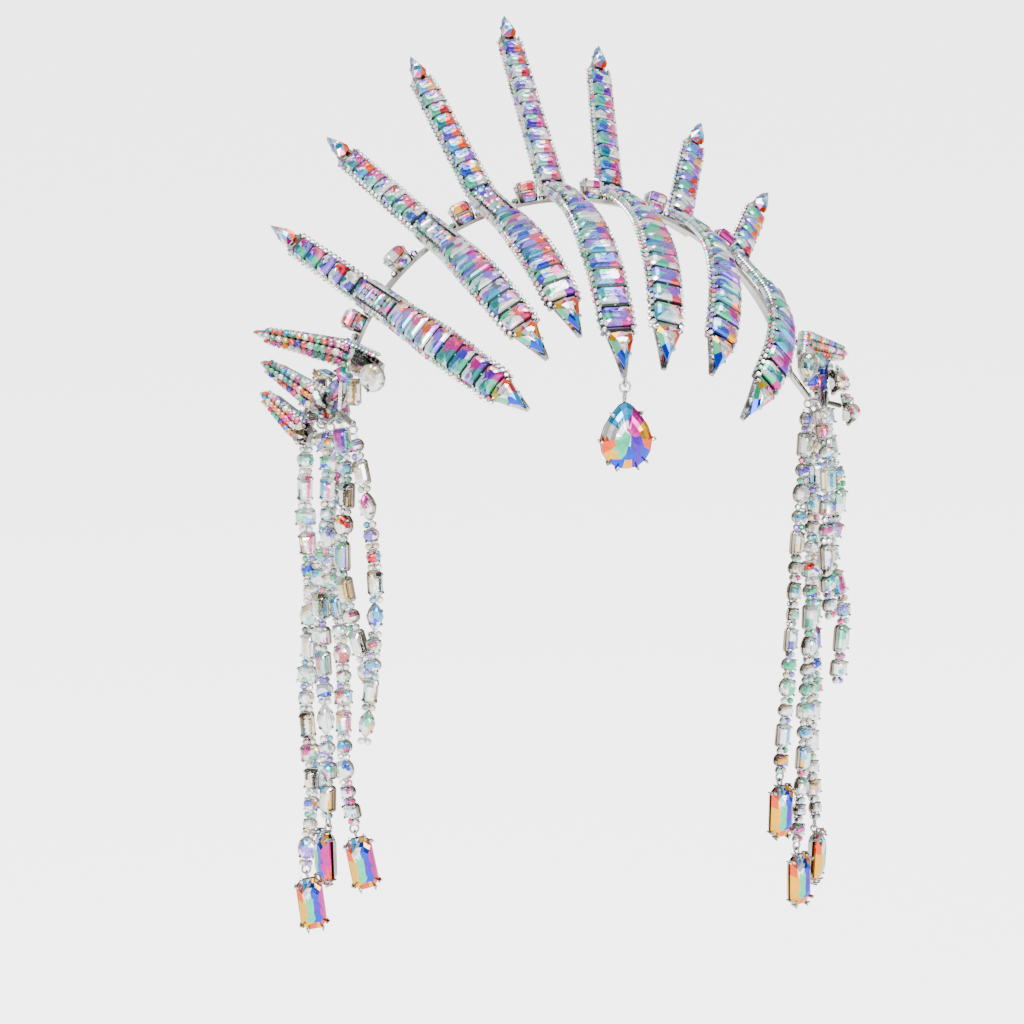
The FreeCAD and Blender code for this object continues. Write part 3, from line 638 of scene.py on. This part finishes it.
SET_ON_SPOTS = setting_tree()
SOCKET = {item.name: item.identifier for item in SET_ON_SPOTS.interface.items_tree
          if item.in_out == "INPUT"}
SHAPES = {mesh.name: bpy.data.objects.new(mesh.name, mesh) for mesh in (
    cut_mesh("square", split(cushion_outline(), 2), FULL_CUT, 13, True, seed=3),
    cut_mesh("rung", split(cushion_outline(0.6, 0.14), 3), FULL_CUT, 13, stretch=1.2, seed=5),
    cut_mesh("baguette", split(cushion_outline(1.9, 0.12), 2), STEP_CUT, 6, stretch=2.5, seed=7),
    cut_mesh("emerald", split(cushion_outline(2.0, 0.26), 3), STEP_CUT, stretch=1.5, chart=DROP_CHART, seed=9),
    cut_mesh("oval", round_outline(12), FULL_CUT, 7, seed=11),
    cut_mesh("round", round_outline(12), FULL_CUT, 7, seed=13),
    cut_mesh("navette", navette_outline(), FULL_CUT, 7, seed=15),
    cut_mesh("kite", kite_outline(), KITE_CUT, chart=KITE_CHART, seed=17),
    cut_mesh("leaf_kite", kite_outline(), KITE_CUT, chart=LEAF_KITE_CHART, seed=18),
    cut_mesh("pear", split(pear_outline(), 2), STEP_CUT, chart=PEAR_CHART, seed=19),
    cut_mesh("small_round", round_outline(8), SMALL_CUT, 0, chart=[(0.0, 0.0, 0.5)], seed=21),
    cup_mesh("round_cup", round_outline(8), [(0.8, 0.0), (1.0, 0.6), (1.0, 1.0)]),
    cup_mesh("square_cup", cushion_outline(), [(0.86, 0.0), (1.0, 0.35), (1.0, 1.0)]),
    cup_mesh("baguette_cup", cushion_outline(1.9, 0.16), [(0.9, 0.0), (1.0, 0.35), (1.0, 1.0)]),
    cup_mesh("oval_cup", round_outline(12), [(0.86, 0.0), (1.0, 0.35), (1.0, 1.0)]),
    cup_mesh("navette_cup", navette_outline(), [(0.9, 0.0), (1.0, 0.35), (1.0, 1.0)]),
    claw_mesh("claw"),
    ball_mesh("ball"),
    ring_mesh("wire_ring"),
    bar_mesh("bar"),
)}
# The cup that goes under each shape of stone.
CUPS = {"square": "square_cup", "round": "oval_cup", "oval": "oval_cup", "baguette": "baguette_cup",
        "navette": "navette_cup"}

CORNERS = [(-1, -1), (-1, 1), (1, -1), (1, 1)]
# Where a link's claws stand, as shares of its length and width.
CLAW_SPOTS = {"square": (0.36, 0.49), "baguette": (0.36, 0.49), "round": (0.36, 0.36), "oval": (0.36, 0.36),
              "navette": (0.24, 0.37)}

stone_numbers = random.Random(41)


class Tray:
    """Collects the spots of one piece, by shape and finish, and sets them."""

    def __init__(self, name):
        self.name = name
        self.rows = {}

    def add(self, shape, finish, place, number=None):
        number = stone_numbers.random() if number is None else number
        self.rows.setdefault((shape, finish.name), []).append((place, number))

    def set(self):
        made = []
        for (shape, finish), spots in self.rows.items():
            mesh = bpy.data.meshes.new("spots")
            mesh.from_pydata([place.to_translation() * MM for place, number in spots], [], [])
            for label, kind in (("turn", "QUATERNION"), ("size", "FLOAT_VECTOR"), ("stone", "FLOAT")):
                mesh.attributes.new(label, kind, "POINT")
            for i, (place, number) in enumerate(spots):
                spot, turn, size = place.decompose()
                mesh.attributes["turn"].data[i].value = turn
                mesh.attributes["size"].data[i].vector = size
                mesh.attributes["stone"].data[i].value = number
            holder = bpy.data.objects.new(self.name, mesh)
            bpy.context.scene.collection.objects.link(holder)
            step = holder.modifiers.new("set", "NODES")
            step.node_group = SET_ON_SPOTS
            step[SOCKET["Shape"]] = SHAPES[shape]
            step[SOCKET["Scale"]] = MM
            step[SOCKET["Finish"]] = bpy.data.materials[finish]
            bpy.context.view_layer.update()
            done = holder.evaluated_get(bpy.context.evaluated_depsgraph_get())
            made.append(bpy.data.meshes.new_from_object(done))
            bpy.data.objects.remove(holder)
        return join(self.name, made)


def join(name, meshes):
    """One object from meshes, which keep their materials."""
    first = bpy.data.objects.new(name, meshes[0])
    first.data.name = name
    bpy.context.scene.collection.objects.link(first)
    others = []
    for mesh in meshes[1:]:
        other = bpy.data.objects.new("joining", mesh)
        bpy.context.scene.collection.objects.link(other)
        others.append(other)
    if others:
        with bpy.context.temp_override(active_object=first, selected_editable_objects=[first] + others,
                                       selected_objects=[first] + others, object=first):
            bpy.ops.object.join()
    return first


def round_in_cup(cups, rounds, coat, spot, facing, cup, stone):
    """Small round and its cup. facing is along, across and out; cup and stone give level, width and height."""
    for tray, shape, finish, (level, wide, tall) in ((cups, "round_cup", silver, cup),
                                                     (rounds, "small_round", coat, stone)):
        tray.add(shape, finish, axes(spot + facing[2] * level, *facing, (wide, wide, tall)))


def stud(tray, spot, facing, wide, tall):
    tray.add("ball", silver, axes(spot, *facing, (wide, wide, tall)))


def edge_rounds(tray, place_at, start, end, width_of, pitch, size=1.9, both=True):
    """Small rounds down both sloping sides of a blade; place_at gives point and directions."""
    count = int((end - start) / pitch)
    lines = ((0.62, 0.75, 1.35, size), (0.92, 0.1, 0.1, size * 0.85))[:1 + both]
    for i in range(count + 1):
        s = start + (end - start) * i / max(count, 1)
        point, along, across, out = place_at(s)
        half = width_of(s) / 2
        if half < 2.2:
            continue
        for side in (-1, 1):
            for sideways, inset, rise, cut in lines:
                slope = unit(out * (1 - sideways) + across * (side * sideways))
                spot = point + across * (side * (half - inset)) + out * (BLADE_BASE + rise)
                if cut < size:
                    spot = spot + along * (EDGE_PITCH / 2)
                round_in_cup(tray, tray, crystal_small, spot, (along, slope.cross(along), slope),
                             (-0.35, cut, 0.5), (0.15, cut * 0.86, 0.7))


def dress_spike(leaf, tip, count, stones, trim):
    """Stones from the knee up to the spike's tip; gives the way out of the spike's face."""
    along = unit(Vector(tip) - leaf.knee)
    across = unit(along.cross(leaf.frame(0.0)[3] - Vector((0, 0.35, 0))))
    out = unit(across.cross(along))
    facing = (along, -across, out)
    length = (Vector(tip) - leaf.knee).length
    lift = BLADE_TOP + STONE_GAP
    pitch = (length - SPIKE_POINT - SPIKE_START) / count
    for i in range(count):
        spot = leaf.knee + along * (SPIKE_START + pitch * (i + 0.5)) + out * lift
        gap = leaf.knee + along * (SPIKE_START + pitch * i)
        stones.add("square", crystal_soft, axes(spot, *facing, (pitch - 0.45, 7.3 - 0.08 * i, 2.5)))
        # Painted shadow: a dark bar in the gap before this stone.
        trim.add("bar", shadow, axes(gap + out * BLADE_TOP, *facing, (0.8, 6.2 - 0.08 * i, 1.5)))
        for side in (-1, 1):
            stud(trim, gap + across * (side * 3.7) + out * (lift + 0.9), facing, 1.0, 1.2)
    spot = leaf.knee + along * (length - 6.4) + out * lift
    stones.add("kite", crystal_chart, axes(spot, *facing, (12.5, 5.8, 2.8)))
    edge_rounds(trim, lambda s: (leaf.knee + along * s, along, across, out), 2.0, length - 14.5,
                lambda s: spike_width(s, length), 2.25)
    for s in (length - 12.6, length - 6.0):
        for side in (-1, 1):
            edge = leaf.knee + along * s + across * (side * (spike_width(s, length) / 2 + 0.1))
            stud(trim, edge + out * (BLADE_TOP - 0.2), facing, 1.1, 1.6)
    return out


def dress_leaf(leaf, stones, trim):
    """Wide stones down to the kite on the forehead."""
    lift = BLADE_TOP + STONE_GAP
    room = LEAF_END - LEAF_START
    for i in range(LEAF_STONES):
        t = LEAF_START + room * (i + 0.5) / LEAF_STONES
        spot, down, side, face = leaf.frame(t)
        width = leaf_width(t) - 2 * BLADE_BEVEL + 1.5
        stones.add("rung", crystal_soft, axes(spot + face * (lift + 0.05), down, -side, face,
                                              (leaf.chord.length * room / LEAF_STONES - 0.5, width, 2.5)))
        # Painted shadow: a dark bar in the gap before this wide stone.
        spot, down, side, face = leaf.frame(LEAF_START + room * i / LEAF_STONES)
        trim.add("bar", shadow, axes(spot + face * BLADE_TOP, down, -side, face, (0.9, width - 0.2, 1.6)))
        for x, size in ((-0.5, 1.1), (0.0, 0.8), (0.5, 1.1)):
            stud(trim, spot + side * (x * width) + face * (lift + 1.2), (down, -side, face), size, size)
    spot, down, side, face = leaf.frame(LEAF_KITE)
    stones.add("leaf_kite", crystal_chart, axes(spot + face * (lift + 0.05), down, -side, face,
                                                (13.0, 8.0, 3.0)))
    for t in (0.905, 0.95):
        spot, down, side, face = leaf.frame(t)
        for x in (-1, 1):
            edge = spot + side * (x * (leaf_width(t) / 2 + 0.1))
            stud(trim, edge + face * (BLADE_TOP + 0.1), (down, -side, face), 1.2, 1.8)
    edge_rounds(trim, leaf.frame, 0.02, LEAF_END, leaf_width, 2.25 / leaf.chord.length)
    edge_rounds(trim, leaf.frame, 0.9, 0.955, leaf_width, 1.7 / leaf.chord.length, 1.5, False)


def dress_crown(leaf, spike_out, stones, trim):
    """Small stones from the knee to the first wide stone, and the cluster over the knee."""
    rows = 11
    for i in range(rows):
        spot, down, side, face = leaf.frame(0.02 + (LEAF_START - 0.035) * i / rows)
        facing = (down, -side, face)
        if i % 3 == 1:
            spot = spot + face * (BLADE_TOP + STONE_GAP)
            stones.add("rung", crystal_soft, axes(spot, *facing, (2.9, 5.6, 1.9)))
            continue
        for x in (-2.0, 0.0, 2.0):
            round_in_cup(trim, stones, crystal_small, spot + side * x, facing,
                         (BLADE_TOP, 2.1, 0.9), (BLADE_TOP + 0.75, 1.9, 0.9))
    top = unit(spike_out + leaf.frame(0.0)[3])
    flat = unit(leaf.across.cross(top))
    for ring, count, size in ((0.0, 1, 3.0), (2.7, 6, 2.2)):
        for k in range(count):
            a = 2 * math.pi * k / count
            spot = (leaf.knee + top * (2.9 - 0.25 * ring) + flat * (ring * math.sin(a))
                    + leaf.across * (ring * math.cos(a)))
            round_in_cup(trim, stones, crystal_bright, spot, (flat, top.cross(flat), top),
                         (-0.4, size, 0.8), (0.3, size * 0.9, 1.0))


def dress_blade(name, knee, leaf_tip, spike_tip, bulge, shift, spike_stones):
    leaf = Leaf(knee, leaf_tip, bulge, shift)
    stones, trim = Tray("blade_%s_crystals" % name), Tray("blade_%s_trim" % name)
    out = dress_spike(leaf, spike_tip, spike_stones, stones, trim)
    dress_leaf(leaf, stones, trim)
    dress_crown(leaf, out, stones, trim)
    finish_piece(stones, BODY, "crystal", "blade_%s_stones" % name)
    finish_piece(trim, BODY, "silver")
    return leaf


def finish_piece(tray, body, slot, *nodes):
    """A dressed piece: it rides on its body and stands for the nodes named; its slot is not used."""
    piece = tray.set()
    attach(piece, body)
    if nodes:
        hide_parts(*nodes)


def dress_side_blade(stones, trim, tip, cross, end, width):
    """Small rounds up to the tip, and a kite on the short end below."""
    face = unit((math.copysign(0.62, tip.x), -0.68, 0.1))
    along = unit(tip - cross)
    across = unit(along.cross(face))
    out = unit(across.cross(along))
    reach = (tip - cross).length
    rows = int(reach * 0.86 / 2.7)
    for i in range(rows):
        f = (i + 0.5) / rows * 0.86
        wide = width * (1 - SIDE_TAPER * f)
        for k in (-1, 0, 1):
            spot = (cross + (tip - cross) * f + across * (k * wide * 0.31)
                    + out * (BLADE_TOP + 0.75 - 0.35 * abs(k)))
            size = min(2.75, wide * 0.32) + (0.3 if k == 0 else 0.0)
            round_in_cup(trim, stones, crystal_fire, spot, (along, -across, out),
                         (-0.7, size, 0.9), (0.0, size - 0.2, 1.5))
    spot = cross + (tip - cross) * 0.9 + out * (BLADE_TOP + 0.1)
    stones.add("kite", crystal_chart, axes(spot, along, -across, out, (reach * 0.2, width * 0.36, 1.8)))
    edge_rounds(trim, lambda s: (cross + along * s, along, across, out), 0.5, reach * 0.8,
                lambda s: width * (1 - SIDE_TAPER * s / reach), 2.1, 1.9, False)

    down = unit(end - cross)
    side = unit(down.cross(face))
    up = unit(side.cross(down))
    facing = (down, up.cross(down), up)
    reach = (end - cross).length
    for i in range(3):
        for k in (-1, 0, 1):
            spot = cross + down * (0.6 + i * 2.6) + facing[1] * (k * width * 0.3) + up * (BLADE_TOP + 0.6)
            round_in_cup(trim, stones, crystal_fire, spot, facing, (-0.6, 2.6, 0.9), (0.0, 2.4, 1.4))
    edge_rounds(trim, lambda s: (cross + down * s, down, side, up), 1.0, reach - 5.0, lambda s: width, 2.2, 2.1)
    room = reach - SIDE_END_KITE
    spot = cross + down * (SIDE_END_KITE + room * 0.5) + up * (BLADE_TOP + STONE_GAP + 0.3)
    stones.add("kite", crystal_clear, axes(spot, *facing, (room, width * 0.8, 3.4)))
    for f, x in ((0.1, -1), (0.1, 1), (0.5, -1), (0.5, 1), (0.97, 0)):
        edge = cross + down * (SIDE_END_KITE + room * f) + facing[1] * (x * width * (0.42 - 0.2 * f))
        stud(trim, edge + up * (BLADE_TOP + 1.1), facing, 1.3, 1.6)


def dress_side_blades(side):
    stones, trim = Tray("%s_side_crystals" % side), Tray("%s_side_trim" % side)
    for name, tip, cross, end, width in SIDE_BLADES:
        if name.startswith(side):
            dress_side_blade(stones, trim, Vector(tip), Vector(cross), Vector(end), width)
    finish_piece(stones, BODY, "side_crystal", "%s_side_stones" % side)
    finish_piece(trim, BODY, "silver")


def dress_band():
    stones, trim = Tray("band_crystals"), Tray("band_trim")
    for across, size, turn in BAND_STONES:
        seat = band_place(across, COLLET_RISE + STONE_GAP, turn)
        turned = seat.to_3x3()
        half = size / 2
        stones.add("square", crystal_soft, seat @ Matrix.Diagonal((size - 0.3, size - 0.3, 3.4, 1.0)))
        for k in range(4):
            a = math.pi / 4 + k * math.pi / 2
            spot = seat @ Vector((math.cos(a) * (half + 0.25), math.sin(a) * (half + 0.25), -1.2))
            lean = turned @ Matrix.Rotation(a, 3, "Z") @ Matrix.Diagonal((1.0, 1.0, 3.6))
            trim.add("claw", silver, Matrix.Translation(spot) @ lean.to_4x4())
        # Collet wall in painted reflection and shade.
        wall = Matrix.Translation(seat @ Vector((0, 0, -COLLET_RISE - 0.4)))
        shape = turned @ Matrix.Diagonal((size * 0.92, size * 0.92, COLLET_RISE))
        trim.add("square_cup", painted_reflection_and_shade, wall @ shape.to_4x4())
        # A small stone on the front side of the collet and rounds at its foot.
        front, up = turned @ Vector((0, -1, 0)), turned @ Vector((0, 0, 1))
        side = front.cross(up)
        spot = seat @ Vector((0, -half + 0.3, -2.2))
        stones.add("square", crystal_soft, axes(spot, side, front.cross(side), front, (4.4, 3.0, 1.5)))
        for x in (-1, 1):
            foot = band_place(across, 0.0, turn) @ Vector((x * (half + 1.2), -1.5, 0.0))
            round_in_cup(trim, stones, crystal_small, foot, (side, front, up), (0.0, 2.6, 1.2), (1.0, 2.3, 1.0))
    finish_piece(stones, BODY, "crystal", "band_stones")
    finish_piece(trim, BODY, "silver")


# Stones between the small blades and the tops of the strands.
EAR_STONES = [
    # side,   place,                 shape, length, width, turn, clear
    ("right", (-90.2, 2.0, -63.3), "square", 7.0, 5.2, 8, True),
    ("right", (-90.5, 1.0, -71.5), "navette", 8.6, 5.4, 0, True),
    ("right", (-86.5, -5.0, -60.5), "baguette", 7.8, 4.2, 0, False),
    ("right", (-82.5, -12.0, -59.4), "navette", 8.8, 5.6, -25, False),
    ("right", (-80.9, -14.0, -66.6), "oval", 7.8, 6.2, 0, False),
    ("right", (-85.6, -8.0, -68.0), "baguette", 7.6, 4.4, 0, False),
    ("right", (-77.9, -25.5, -58.0), "baguette", 9.0, 4.6, 0, True),
    ("right", (-85.2, -6.5, -54.8), "navette", 8.6, 4.0, 82, True),
    ("right", (-79.4, -14.5, -53.6), "square", 5.4, 5.0, 20, False),
    ("right", (-73.2, -36.5, -51.6), "oval", 9.6, 8.6, 30, True),
    ("left", (78.4, -36.0, -55.5), "oval", 8.8, 7.0, 10, True),
    ("left", (87.4, -13.0, -58.5), "square", 5.8, 5.6, 10, False),
    ("left", (88.8, -12.0, -66.0), "square", 6.2, 6.0, 0, False),
    ("left", (84.6, -17.0, -64.0), "round", 5.0, 5.0, 0, False),
    ("left", (92.4, -4.0, -62.5), "baguette", 8.0, 4.6, -10, False),
    ("left", (92.0, -4.0, -70.5), "navette", 8.6, 5.2, 0, True),
]
# Wires that carry them.
EAR_WIRES = [
    # side,   from,                  to
    ("right", (-78.5, -10.0, -50.0), (-84.2, -13.6, -69.0)),
    ("right", (-79.4, -12.0, -50.5), (-82.0, -20.5, -65.6)),
    ("right", (-86.0, -4.6, -54.0), (-87.0, -6.6, -69.0)),
    ("right", (-90.4, -3.0, -60.5), (-90.2, 3.2, -70.0)),
    ("right", (-77.6, -23.6, -55.0), (-81.4, -21.4, -65.4)),
    ("left", (84.0, -10.5, -56.0), (86.6, -12.0, -70.8)),
    ("left", (91.5, -2.5, -62.0), (91.0, 0.8, -75.4)),
    ("left", (87.2, -11.0, -58.0), (87.8, -18.0, -73.0)),
]


def rod(tray, a, b):
    a, b = Vector(a), Vector(b)
    along = unit(b - a)
    across = unit(along.cross(Vector((0.3, 1, 0.2))))
    out = across.cross(along)
    place = axes((a + b) / 2 - out * EAR_WIRE / 2, along, out.cross(along), out,
                 ((b - a).length, EAR_WIRE, EAR_WIRE))
    tray.add("bar", silver, place)


def dress_ears(side):
    tray = Tray("%s_ear_stones" % side)
    out = unit((-0.5 if side == "right" else 0.5, -0.86, 0.06))
    for where, place, shape, long, wide, turn, clear in EAR_STONES:
        if where != side:
            continue
        swing = math.radians(turn)
        down = Vector((math.sin(swing), 0, -math.cos(swing)))
        down = unit(down - out * down.dot(out))
        spot, facing = Vector(place), (down, out.cross(down), out)
        coat = crystal_clear if clear else crystal_soft
        # Back cup in painted reflection and shade, behind the silver cup.
        tray.add(CUPS[shape], painted_reflection_and_shade, axes(spot - out * 2.4, *facing, (long, wide, 0.9)))
        tray.add(CUPS[shape], silver, axes(spot - out * 1.5, *facing, (long + 0.2, wide + 0.2, 1.4)))
        tray.add(shape, coat, axes(spot - out * 0.5, *facing, (long - 0.4, wide - 0.4, 2.6)))
        spread = 0.34 if shape in ("round", "oval", "navette") else 0.47
        for x, y in CORNERS:
            corner = spot + down * (x * long * 0.36) + facing[1] * (y * wide * spread)
            stud(tray, corner + out * 0.8, facing, 1.1, 1.6)
    for where, a, b in EAR_WIRES:
        if where == side:
            rod(tray, a, b)
    finish_piece(tray, BODY, "side_crystal")


# Strands.
def strand_line(points):
    """Smooth line through the strand's points: place and way down at a distance."""
    spots = [Vector(p) for p in points]
    dense = []
    for i in range(len(spots) - 1):
        a = spots[max(i - 1, 0)]
        b, c = spots[i], spots[i + 1]
        d = spots[min(i + 2, len(spots) - 1)]
        for k in range(12):
            t = k / 12
            dense.append(0.5 * ((2 * b) + (c - a) * t + (2 * a - 5 * b + 4 * c - d) * t * t
                                + (3 * b - a - 3 * c + d) * t ** 3))
    dense.append(spots[-1])
    lengths = [0.0]
    for a, b in zip(dense, dense[1:]):
        lengths.append(lengths[-1] + (b - a).length)

    def at(s):
        for i in range(len(lengths) - 1):
            if s <= lengths[i + 1] or i == len(lengths) - 2:
                f = (s - lengths[i]) / max(lengths[i + 1] - lengths[i], 1e-6)
                return dense[i].lerp(dense[i + 1], f), unit(dense[i + 1] - dense[i])
    return at, lengths[-1]


def jump_ring(tray, upper, lower, out):
    """Ring whose two ends lie in the middles of two eyelets' holes."""
    along = unit(lower - upper)
    face = unit(out - along * out.dot(along))
    tray.add("wire_ring", silver, axes((upper + lower) / 2, along, face.cross(along), face,
                                       ((lower - upper).length + 0.4, JUMP_RING, JUMP_RING)), 0.0)


def choose_links(name, room):
    """The links that fill a strand, and the gap that spreads them evenly."""
    rows, chosen, used = LINK_ROWS[name], [], FIRST_LINK
    while True:
        row = rows[len(chosen) % len(rows)]
        if used + row[1] > room:
            row = LAST_LINK
        if used + row[1] > room:
            break
        chosen.append(row)
        used += row[1] + LINK_GAP
    return chosen, LINK_GAP + (room - used + LINK_GAP) / (len(chosen) - 1)


def dress_strand(name, points, rng):
    """Links in cups with an eyelet at both ends, jump rings through the eyelets, two rounds over each joint."""
    stones = Tray("strand_%s_links" % name)
    at, length = strand_line(points)
    tail = DROP_TAIL if name in {row[0] for row in DROPS} else PLAIN_TAIL
    chosen, gap = choose_links(name, length - tail)
    sign = math.copysign(1, points[0][0])
    s = FIRST_LINK
    yaw = rng.uniform(-10, 10)
    above = None
    for shape, long, wide in chosen:
        wide = wide * LINK_WIDER
        start, end = at(s)[0], at(s + long)[0]
        down = unit(end - start)
        yaw = yaw * 0.6 + rng.uniform(-22, 22)
        angle = math.radians(30 + yaw)
        out = Vector((sign * math.sin(angle), -math.cos(angle), 0.0))
        out = unit(out - down * out.dot(down))
        side = out.cross(down)
        middle = (start + end) / 2
        finish = crystal_clear if rng.random() < 0.4 and shape == "baguette" else crystal_fringe
        # Back cup in painted reflection and shade, behind the silver cup.
        stones.add(CUPS[shape], painted_reflection_and_shade, axes(middle - out * 2.3, down, side, out, (long, wide, 0.9)))
        stones.add(CUPS[shape], silver, axes(middle - out * 1.38, down, side, out, (long, wide, 1.3)))
        stones.add(shape, finish, axes(middle - out * 0.4, down, side, out, (long - 0.7, wide - 0.7, 2.3)))
        for x, y in CORNERS:
            spot = middle + down * (x * long * CLAW_SPOTS[shape][0]) + side * (y * wide * CLAW_SPOTS[shape][1])
            lean = unit(side * y)
            stones.add("claw", silver, axes(spot - out * 0.4, lean, out.cross(lean), out, (0.75, 0.75, 1.7)))
        top, bottom = [middle + down * (x * (long / 2 + EYE_BEYOND)) - out * EYE_BEHIND for x in (-1, 1)]
        for hole in (top, bottom):
            stones.add("wire_ring", silver, axes(hole, down, out, -side, (WIRE_EYE, WIRE_EYE, WIRE_EYE)), 0.0)
        if above:
            jump_ring(stones, above, top, out)
        above = bottom
        joint, ring_down = at(s + long + gap / 2)
        for x in (-1, 1):
            round_in_cup(stones, stones, crystal_small, joint + side * (x * 1.25) - out * 0.3,
                         (ring_down, side, out), (-0.9, 2.5, 1.2), (0.0, 2.2, 1.2))
        s += long + gap
    jump_ring(stones, above, above + down * (gap - 2 * EYE_BEYOND), out)
    finish_piece(stones, BODY, "strand", "strand_%s" % name)


def dress_drop(name, end, lean, turn):
    swing, yaw = math.radians(lean), math.radians(turn)
    down = Vector((math.sin(swing), 0, -math.cos(swing)))
    out = Vector((math.copysign(1, end.x) * math.sin(yaw), -math.cos(yaw), 0))
    out = unit(out - down * out.dot(down))
    place = axes(end + down * (DROP_HEIGHT / 2 + 5.1), down, out.cross(down), out)
    size = Matrix.Diagonal((DROP_HEIGHT - 0.4, DROP_WIDTH - 0.4, 3.7, 1.0))
    stone = Tray("drop_%s_crystal" % name)
    stone.add("emerald", crystal_chart, place @ Matrix.Translation((0, 0, STONE_GAP)) @ size)
    finish_piece(stone, BODY, "crystal", "drop_%s_stone" % name)
    claws = Tray("drop_%s_claws" % name)
    turned = place.to_3x3()
    for side in (1, -1):
        for x, y in ((9.2, 2.9), (7.6, 4.6), (-9.2, 2.9), (-7.6, 4.6)):
            way = unit(turned @ Vector((x / 2.4, y * side, 0)))
            claws.add("claw", silver, axes(place @ Vector((x, y * side, 0.7)), way, out.cross(way), out,
                                           (0.9, 0.9, 2.3)))
    finish_piece(claws, BODY, "silver")


def dress_pendant(leaf):
    point, along, across, out = leaf.frame(1.0)
    hinge = point + out * (BLADE_TOP / 2) + Vector((0, 0, -EYELET_RADIUS))
    middle = hinge + Vector((0, 0.4, -2 * LINK_RADIUS - 3.0 - PEAR_HEIGHT / 2))
    place = axes(middle, Vector((1, 0, 0)), Vector((0, 0, 1)), Vector((0, -1, 0)))
    size = Matrix.Diagonal((PEAR_WIDTH * 0.985, PEAR_HEIGHT * 0.985, 4.3, 1.0))
    stone = Tray("pendant_crystal")
    stone.add("pear", crystal_chart, place @ Matrix.Translation((0, 0, STONE_GAP)) @ size)
    finish_piece(stone, "pendant", "crystal", "pendant_stone")
    claws = Tray("pendant_claws")
    outline = pear_outline()
    face = Vector((0, -1, 0))
    for i in (2, 4, 6, 7, 9, 10, 12, 14):
        x, y = outline[i]
        (x0, y0), (x1, y1) = outline[i - 1], outline[i + 1]
        way = place.to_3x3() @ unit(((y1 - y0) * PEAR_HEIGHT, (x0 - x1) * PEAR_WIDTH, 0))
        spot = place @ Vector((x * PEAR_WIDTH, y * PEAR_HEIGHT, 0.6))
        claws.add("claw", silver, axes(spot + way * 0.35, way, face.cross(way), face, (1.0, 1.0, 2.6)))
    finish_piece(claws, "pendant", "silver")


leaves = {row[0]: dress_blade(*row) for row in BLADES}
for side in ("right", "left"):
    dress_side_blades(side)
    dress_ears(side)
dress_band()
dress_pendant(leaves["centre"])
links = random.Random(7)
for name, points in STRANDS:
    dress_strand(name, points, links)
ends = {name: Vector(points[-1]) for name, points in STRANDS}
for name, lean, turn in DROPS:
    dress_drop(name, ends[name], lean, turn)

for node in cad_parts.values():
    node.data.materials.clear()
    node.data.materials.append(silver)


# Floor, light and view. Floor and backdrop are brighter to the camera than in reflections.
def floor():
    mesh = bpy.data.meshes.new("floor")
    corners = [(x * FLOOR_HALF, y * FLOOR_HALF, FLOOR_LEVEL) for x, y in ((-1, -1), (1, -1), (1, 1), (-1, 1))]
    mesh.from_pydata(corners, [], [(0, 1, 2, 3)])
    plane = bpy.data.objects.new("floor", mesh)
    bpy.context.scene.collection.objects.link(plane)
    material, tree, shader = new_material("pale_floor")
    camera_ray = add_node(tree, "ShaderNodeLightPath").outputs["Is Camera Ray"]
    glow = add_node(tree, "ShaderNodeMix", {"Factor": camera_ray, "A": (0.3, 0.3, 0.3, 1.0),
                                            "B": (1.0, 1.0, 1.0, 1.0)}, data_type="RGBA")
    feed(tree, shader, {"Base Color": (0.93, 0.93, 0.93, 1.0), "Roughness": 0.9, "Emission Strength": 3.2,
                        "Emission Color": glow.outputs["Result"]})
    mesh.materials.append(material)


def soft_box(name, spot, size, power):
    light = bpy.data.lights.new(name, "AREA")
    light.shape = "RECTANGLE"
    light.size, light.size_y = size
    light.energy = power
    lamp = bpy.data.objects.new(name, light)
    lamp.location = spot
    lamp.rotation_euler = (Vector(LIGHT_AIM) - Vector(spot)).to_track_quat("-Z", "Y").to_euler()
    bpy.context.scene.collection.objects.link(lamp)


def room():
    """Bright and dark bands from front to back for the reflections, one plain backdrop for the camera."""
    world = bpy.data.worlds.new("studio")
    world.use_nodes = True
    tree = world.node_tree
    place = add_node(tree, "ShaderNodeTexCoord").outputs["Generated"]
    back = add_node(tree, "ShaderNodeSeparateXYZ", {"Vector": place}).outputs["Y"]
    depth = add_node(tree, "ShaderNodeMapRange", {"Value": back, "From Min": -1.0}).outputs["Result"]
    bands = ramp(tree, [(at, (value, value, value)) for at, value in ROOM_BANDS], depth, constant=False)
    camera_ray = add_node(tree, "ShaderNodeLightPath").outputs["Is Camera Ray"]
    mix = add_node(tree, "ShaderNodeMix", {"Factor": camera_ray, "A": bands, "B": BACKDROP}, data_type="RGBA")
    feed(tree, tree.nodes["Background"], {"Color": mix.outputs["Result"], "Strength": 0.9})
    bpy.context.scene.world = world


def view():
    side, above, roll = [math.radians(angle) for angle in (CAMERA_SIDE, CAMERA_ABOVE, CAMERA_ROLL)]
    ahead = -Vector((math.sin(side) * math.cos(above), -math.cos(side) * math.cos(above), math.sin(above)))
    right = Vector((math.cos(side), math.sin(side), 0))
    up = right.cross(ahead)
    x = right * math.cos(roll) + up * math.sin(roll)
    y = up * math.cos(roll) - right * math.sin(roll)
    place = Vector(CAMERA_TARGET) - ahead * CAMERA_AWAY
    lens = bpy.data.cameras.new("view")
    lens.lens = LENS_PIXELS * SENSOR / PHOTO_PIXELS
    lens.sensor_width = SENSOR
    camera = bpy.data.objects.new("view", lens)
    camera.matrix_world = Matrix.Translation(place) @ Matrix((x, y, -ahead)).transposed().to_4x4()
    bpy.context.scene.collection.objects.link(camera)
    bpy.context.scene.camera = camera


floor()
for row in LIGHTS:
    soft_box(*row)
room()
view()
